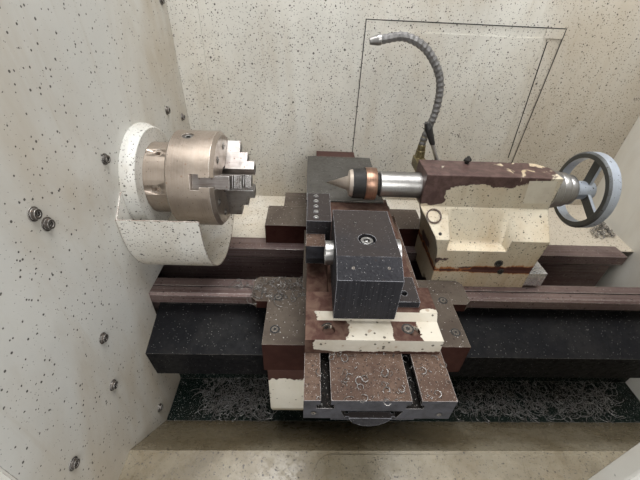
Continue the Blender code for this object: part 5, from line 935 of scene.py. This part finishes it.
class LATHE_OT_hose(Piece):
    """Ribbed conduit of the coolant hose, with its fittings"""

    bl_idname = "lathe.hose"
    bl_label = "Coolant hose"
    # Steps along X and Z from the foot, which is on top of the valve block
    route = (
        (0.000, 0.000), (0.000, 0.020), (0.002, 0.040), (0.011, 0.080), (0.016, 0.115),
        (0.014, 0.167), (-0.004, 0.214), (-0.048, 0.262), (-0.103, 0.284), (-0.160, 0.276),
    )
    foot = Vector((FACE + 0.7655, AXIS_Y + 0.1153, AXIS_Z + 0.0563))
    # Height above the foot, radius, height and sides of each fitting
    nuts = ((-0.024, 0.0155, 0.010, 6), (-0.012, 0.0145, 0.008, 6), (0.002, 0.0120, 0.014, 24))

    def line(self, count):
        """(place, direction) of evenly spaced points on a smooth curve through the route."""
        points = [self.foot + Vector((x, 0, z)) for x, z in self.route]
        ends = [points[0] * 2 - points[1]] + points + [points[-1] * 2 - points[-2]]
        dense = []
        for a, b, c, d in zip(ends, ends[1:], ends[2:], ends[3:]):
            square, cube = 2 * a - 5 * b + 4 * c - d, 3 * b - a - 3 * c + d
            for step in range(24):
                t = step / 24
                dense.append((2 * b + (c - a) * t + square * t**2 + cube * t**3) / 2)
        dense.append(points[-1])
        total = sum((b - a).length for a, b in zip(dense, dense[1:]))
        spaced, travelled, index = [], 0.0, 0
        for i in range(count):
            target = total * i / (count - 1)
            while index < len(dense) - 2 and travelled + (dense[index + 1] - dense[index]).length < target:
                travelled += (dense[index + 1] - dense[index]).length
                index += 1
            step = dense[index + 1] - dense[index]
            share = min(1, (target - travelled) / step.length)
            spaced.append((dense[index] + step * share, step.normalized()))
        return spaced

    def make(self, colours, sizes):
        line = self.line(sizes.ribs)
        wire = sizes.rib
        turns = [2 * pi * k / 8 for k in range(9)]
        ring = [(0.0082 + wire * cos(a), wire * 1.15 * sin(a)) for a in turns]
        groups = (
            ("hose_ribs", "conduit", "ground_steel", line[14:]),
            ("hose_foot_ribs", "old brass", "brass", line[1:14]),
        )
        for name, finish_name, slot, stretch in groups:
            bm = bmesh.new()
            for place, direction in stretch:
                spun(bm, ring, along(direction, place), 20)
            piece(name, bm, finish_name, "tailstock")
        bm = bmesh.new()
        x, y, z = self.foot
        for rise, radius, tall, sides in self.nuts:
            cylinder(bm, Matrix.Translation((x, y, z + rise + tall / 2)), sides, radius, tall, 0.93)
        piece("hose_fittings", bm, "old brass", "tailstock")


class LATHE_OT_live_centre_bands(Piece):
    """Copper band of the live centre"""

    bl_idname = "lathe.live_centre_bands"
    bl_label = "Live centre bands"
    profile = [
        (0.0436, 0), (0.0442, 0.0015), (0.0442, 0.0285), (0.0436, 0.030), (0.0420, 0.030), (0.0420, 0),
        (0.0436, 0),
    ]

    def make(self, colours, sizes):
        bm = bmesh.new()
        spun(bm, self.profile, along((1, 0, 0), (FACE + 0.590, AXIS_Y, AXIS_Z)), 72)
        piece("copper_band", bm, "copper band", "quill_group")


class LATHE_OT_panel_seam(Piece):
    """Dark joint lines round the splash panel and down the back wall"""

    bl_idname = "lathe.panel_seam"
    bl_label = "Panel seam"
    # Ends of the back wall's joint in the photograph's frame
    wall_joint = ((547, 42), (508, 158))

    def make(self, colours, sizes):
        low, high = (Vector(v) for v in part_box("splash_access_panel"))
        start = Vector(((low.x + high.x) / 2, 0, (low.z + high.z) / 2))
        front = SHAPES["splash_access_panel"].ray_cast(start, Vector((0, 1, 0)))[0].y
        bm = bmesh.new()
        corners = ((low.x, low.z), (high.x, low.z), (high.x, high.z), (low.x, high.z))
        face = bm.faces.new([bm.verts.new((x, front - 0.0001, z)) for x, z in corners])
        bm.normal_update()
        rim(bm, face, 0.0028, 0.0005)
        piece("panel_seam", bm, "dark finish and painted shade", "frame")
        (x, y), (x_end, y_end) = self.wall_joint
        walls = ["back_splash", "splash_access_panel"]
        rows = []
        for k in range(13):
            place = seen_at(x + (x_end - x) * k / 12, y + (y_end - y) * k / 12, walls)[0]
            rows.append([place + Vector((side, -0.0006, 0)) for side in (-0.0019, 0.0019)])
        piece("wall_joint", strip(rows), "dark finish and painted shade", "frame")


class LATHE_OT_door_trim(Piece):
    """Window gaskets and door handles"""

    bl_idname = "lathe.door_trim"
    bl_label = "Door trim"
    # The doors' outer face, each handle's way in from its leaf's edge, and its grip
    front = -0.5400
    inward = 0.085
    grip = (0.022, 0.009, 0.20)

    def make(self, colours, sizes):
        front, grow = self.front, sizes.gasket
        for side, body in (("right", "door_right"), ("left", "door_left")):
            low, high = (Vector(v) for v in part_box(side + "_door_window"))
            leaf_low, leaf_high = (Vector(v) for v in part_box(side + "_door"))
            bm = bmesh.new()
            left, right, bottom, top = low.x - grow, high.x + grow, low.z - grow, high.z + grow
            corners = ((left, bottom), (right, bottom), (right, top), (left, top))
            bm.faces.new([bm.verts.new((x, front, z)) for x, z in corners])
            round_off(bm, list(bm.verts), 0.05, 8, "VERTICES")
            rim(bm, bm.faces[:][0], grow * 1.6, 0.004)
            shift = min(v.co.y for v in bm.verts) - (front - 0.0041)
            bmesh.ops.translate(bm, verts=bm.verts, vec=(0, -shift, 0))
            piece(side + "_gasket", bm, "dark finish and painted shade", body)
            bm = bmesh.new()
            x = leaf_low.x + self.inward if side == "right" else leaf_high.x - self.inward
            for z in (1.02, 1.18):
                cylinder(bm, along((0, -1, 0), (x, front - 0.009, z)), 20, 0.007, 0.018)
            grip = bmesh.ops.create_cube(bm, size=1)["verts"]
            bmesh.ops.scale(bm, vec=self.grip, verts=grip)
            bmesh.ops.translate(bm, vec=(x, front - 0.0215, 1.10), verts=grip)
            round_off(bm, list({e for v in grip for e in v.link_edges}), 0.0035, 3, "EDGES")
            piece(side + "_handle", bm, "dark finish and painted shade", body)


class LATHE_OT_swarf(Piece):
    """Heaps of cut chips on the tray, bed, saddle, slide and shelf"""

    bl_idname = "lathe.swarf"
    bl_label = "Swarf"
    # Piece, body, solid under it, part of the photograph's frame, share of the chips, and height
    heaps = (
        ("swarf_tray_left", "frame", "chip_tray", (203, 376, 268, 417), 0.8, 0.010),
        ("swarf_tray_right", "frame", "chip_tray", (455, 381, 612, 417), 1.2, 0.010),
        ("swarf_bed", "carriage", "bed", (236, 258, 302, 290), 0.5, 0.006),
        ("swarf_saddle", "carriage", "saddle", (238, 268, 303, 300), 0.35, 0.003),
        ("swarf_slide", "cross_slide_group", "cross_slide", (312, 350, 452, 405), 0.07, 0.002),
        ("swarf_shelf", "frame", "back_splash", (592, 222, 614, 238), 0.4, 0.012),
    )

    def curl(self, radius, wire, turn, steps, pitch):
        """A flat chip that winds up as a helix."""
        bm = bmesh.new()
        ring = bmesh.ops.create_circle(bm, cap_ends=False, segments=4, radius=wire)
        bmesh.ops.scale(bm, vec=(1.0, 0.4, 1.0), verts=ring["verts"])
        bmesh.ops.rotate(bm, cent=(0, 0, 0), matrix=Matrix.Rotation(pi / 2, 3, "X"), verts=ring["verts"])
        bmesh.ops.translate(bm, vec=(radius, 0, 0), verts=ring["verts"])
        bmesh.ops.spin(
            bm, geom=list(bm.verts) + list(bm.edges), cent=(0, 0, 0), axis=(0, 0, 1), dvec=(0, 0, pitch / steps),
            angle=turn, steps=steps, use_merge=False, use_duplicate=False,
        )
        bmesh.ops.holes_fill(bm, edges=[e for e in bm.edges if e.is_boundary], sides=4)
        bmesh.ops.translate(bm, vec=(-radius, 0, 0), verts=bm.verts)
        bmesh.ops.recalc_face_normals(bm, faces=bm.faces)
        return mesh_of("curl", bm)

    def make(self, colours, sizes):
        shapes = [
            self.curl(0.0036, 0.0009, 3.6, 5, 0.002), self.curl(0.0055, 0.0008, 5.2, 7, 0.005),
            self.curl(0.0085, 0.0007, 2.4, 5, 0.003), self.curl(0.0028, 0.0009, 2.0, 3, 0.001),
        ]
        strings = [self.curl(0.020, 0.0009, 3.2, 12, 0.004), self.curl(0.035, 0.0009, 1.8, 12, 0.006)]
        chance = Random(11)
        for name, body, node, (x0, y0, x1, y1), share, deep in self.heaps:
            tray = "tray" in name
            bm = bmesh.new()
            for i in range(int(sizes.chips * share)):
                x, y = chance.uniform(x0, x1), chance.uniform(y0, y1)
                lift, spin, tip = chance.random() ** 2, chance.uniform(0, 2 * pi), chance.gauss(0, 0.5)
                pick, size, loose = chance.choice(shapes), chance.uniform(0.6, 1.25), chance.random()
                if loose < (0.16 if tray else 0.03) and name != "swarf_shelf":
                    pick, tip, size = strings[i % 2], tip * 0.12, 1.0
                found = seen_at(x, y, [node] if tray else None)
                if found is None or found[2] != node or found[1].z < 0.6:
                    continue
                before = len(bm.verts)
                bm.from_mesh(pick)
                bm.verts.ensure_lookup_table()
                new = bm.verts[before:]
                turn = Matrix.Rotation(spin, 4, "Z") @ Matrix.Rotation(tip, 4, "X")
                bmesh.ops.transform(bm, matrix=turn @ Matrix.Scale(size, 4), verts=new)
                lowest = min(v.co.z for v in new)
                bmesh.ops.translate(bm, vec=found[0] + Vector((0, 0, lift * deep - lowest)), verts=new)
                past_wall = max(v.co.x for v in new) - (CAD_BOX[1][0] - 0.02)
                bmesh.ops.translate(bm, vec=(-max(0.0, past_wall), 0, 0), verts=new)
            if bm.verts:
                piece(name, bm, "bright swarf" if tray else "swarf steel", body, 60)
            else:
                bm.free()


class LATHE_OT_stage(Piece):
    """Pale floor, soft lamps, plain world and the camera"""

    bl_idname = "lathe.stage"
    bl_label = "Stage"

    def lamp(self, name, place, target, size, power):
        light = bpy.data.lights.new(name, "AREA")
        light.shape = "DISK"
        light.size = size
        light.energy = power
        obj = bpy.data.objects.new(name, light)
        obj.location = place
        obj.rotation_euler = (Vector(target) - Vector(place)).to_track_quat("-Z", "Y").to_euler()
        bpy.context.scene.collection.objects.link(obj)

    def make(self, colours, sizes):
        scene = bpy.context.scene
        bm = bmesh.new()
        bmesh.ops.create_grid(bm, x_segments=1, y_segments=1, size=14)
        floor = bpy.data.objects.new("floor", mesh_of("floor", bm))
        scene.collection.objects.link(floor)
        tree, surface = shader_of("floor")
        surface["Base Color"].default_value = (0.80, 0.80, 0.79, 1)
        surface["Roughness"].default_value = 0.9
        surface["Emission Color"].default_value = (1, 1, 1, 1)
        seen = add(tree, "LightPath").outputs["Is Camera Ray"]
        put(tree, surface["Emission Strength"], maths(tree, "MULTIPLY", seen, 0.32))
        floor.data.materials.append(bpy.data.materials["floor"])
        self.lamp("top lamp", (0.1, 0.0, 3.6), (0, 0.05, 0.9), 1.8, 95)
        self.lamp("front lamp", (0.9, -3.2, 2.9), (0, 0, 0.9), 2.2, 80)
        self.lamp("left lamp", (-3.4, -1.4, 2.4), (0, 0, 0.9), 2.2, 45)
        world = scene.world or bpy.data.worlds.new("world")
        scene.world = world
        world.use_nodes = True
        tree = world.node_tree
        tree.nodes.clear()
        path = add(tree, "LightPath").outputs
        shown = maths(tree, "MAXIMUM", path["Is Glossy Ray"], path["Is Transmission Ray"])
        seen = maths(tree, "MAXIMUM", path["Is Camera Ray"], shown)
        dim = add(tree, "Background", {"Color": (0.93, 0.96, 1.0), "Strength": 0.34}).outputs[0]
        clear = add(tree, "Background", {"Color": (0.93, 0.93, 0.93), "Strength": 0.9}).outputs[0]
        both = add(tree, "MixShader", {0: seen, 1: dim, 2: clear}).outputs[0]
        tree.links.new(both, tree.nodes.new("ShaderNodeOutputWorld").inputs[0])
        right, fall, forward = sight()
        data = bpy.data.cameras.new("camera")
        data.sensor_fit = "HORIZONTAL"
        data.sensor_width = SENSOR
        data.lens = FOCAL / PICTURE[0] * SENSOR
        data.clip_start = 0.01
        camera = bpy.data.objects.new("camera", data)
        turn = Matrix((right, -fall, -forward)).transposed().to_4x4()
        camera.matrix_world = Matrix.Translation(EYE) @ turn
        scene.collection.objects.link(camera)
        scene.camera = camera
        scene.view_settings.view_transform = "Standard"


class LATHE_PT_panel(bpy.types.Panel):
    """Lists the pieces of the lathe"""

    bl_label = "Lathe"
    bl_idname = "LATHE_PT_panel"
    bl_space_type = "VIEW_3D"
    bl_region_type = "UI"
    bl_category = "Lathe"

    def draw(self, context):
        for group in (context.scene.lathe_colours, context.scene.lathe_sizes):
            for key in group.bl_rna.properties.keys():
                if key not in ("rna_type", "name"):
                    self.layout.prop(group, key)
        for made in PIECES:
            self.layout.operator(made.bl_idname)


PIECES = (
    LATHE_OT_solids, LATHE_OT_wall_bolts, LATHE_OT_chuck_screws, LATHE_OT_slide_screws, LATHE_OT_tailstock_fittings,
    LATHE_OT_hose, LATHE_OT_live_centre_bands, LATHE_OT_panel_seam, LATHE_OT_door_trim, LATHE_OT_swarf, LATHE_OT_stage,
)
CLASSES = (LATHE_PG_colours, LATHE_PG_sizes, *PIECES, LATHE_PT_panel)


def register():
    for cls in CLASSES:
        bpy.utils.register_class(cls)
    bpy.types.Scene.lathe_colours = PointerProperty(type=LATHE_PG_colours)
    bpy.types.Scene.lathe_sizes = PointerProperty(type=LATHE_PG_sizes)


def unregister():
    del bpy.types.Scene.lathe_colours
    del bpy.types.Scene.lathe_sizes
    for cls in reversed(CLASSES):
        bpy.utils.unregister_class(cls)


def main():
    register()
    for made in PIECES:
        area, name = made.bl_idname.split(".")
        getattr(getattr(bpy.ops, area), name)()
    bpy.context.view_layer.update()


if __name__ == "__main__":
    main()
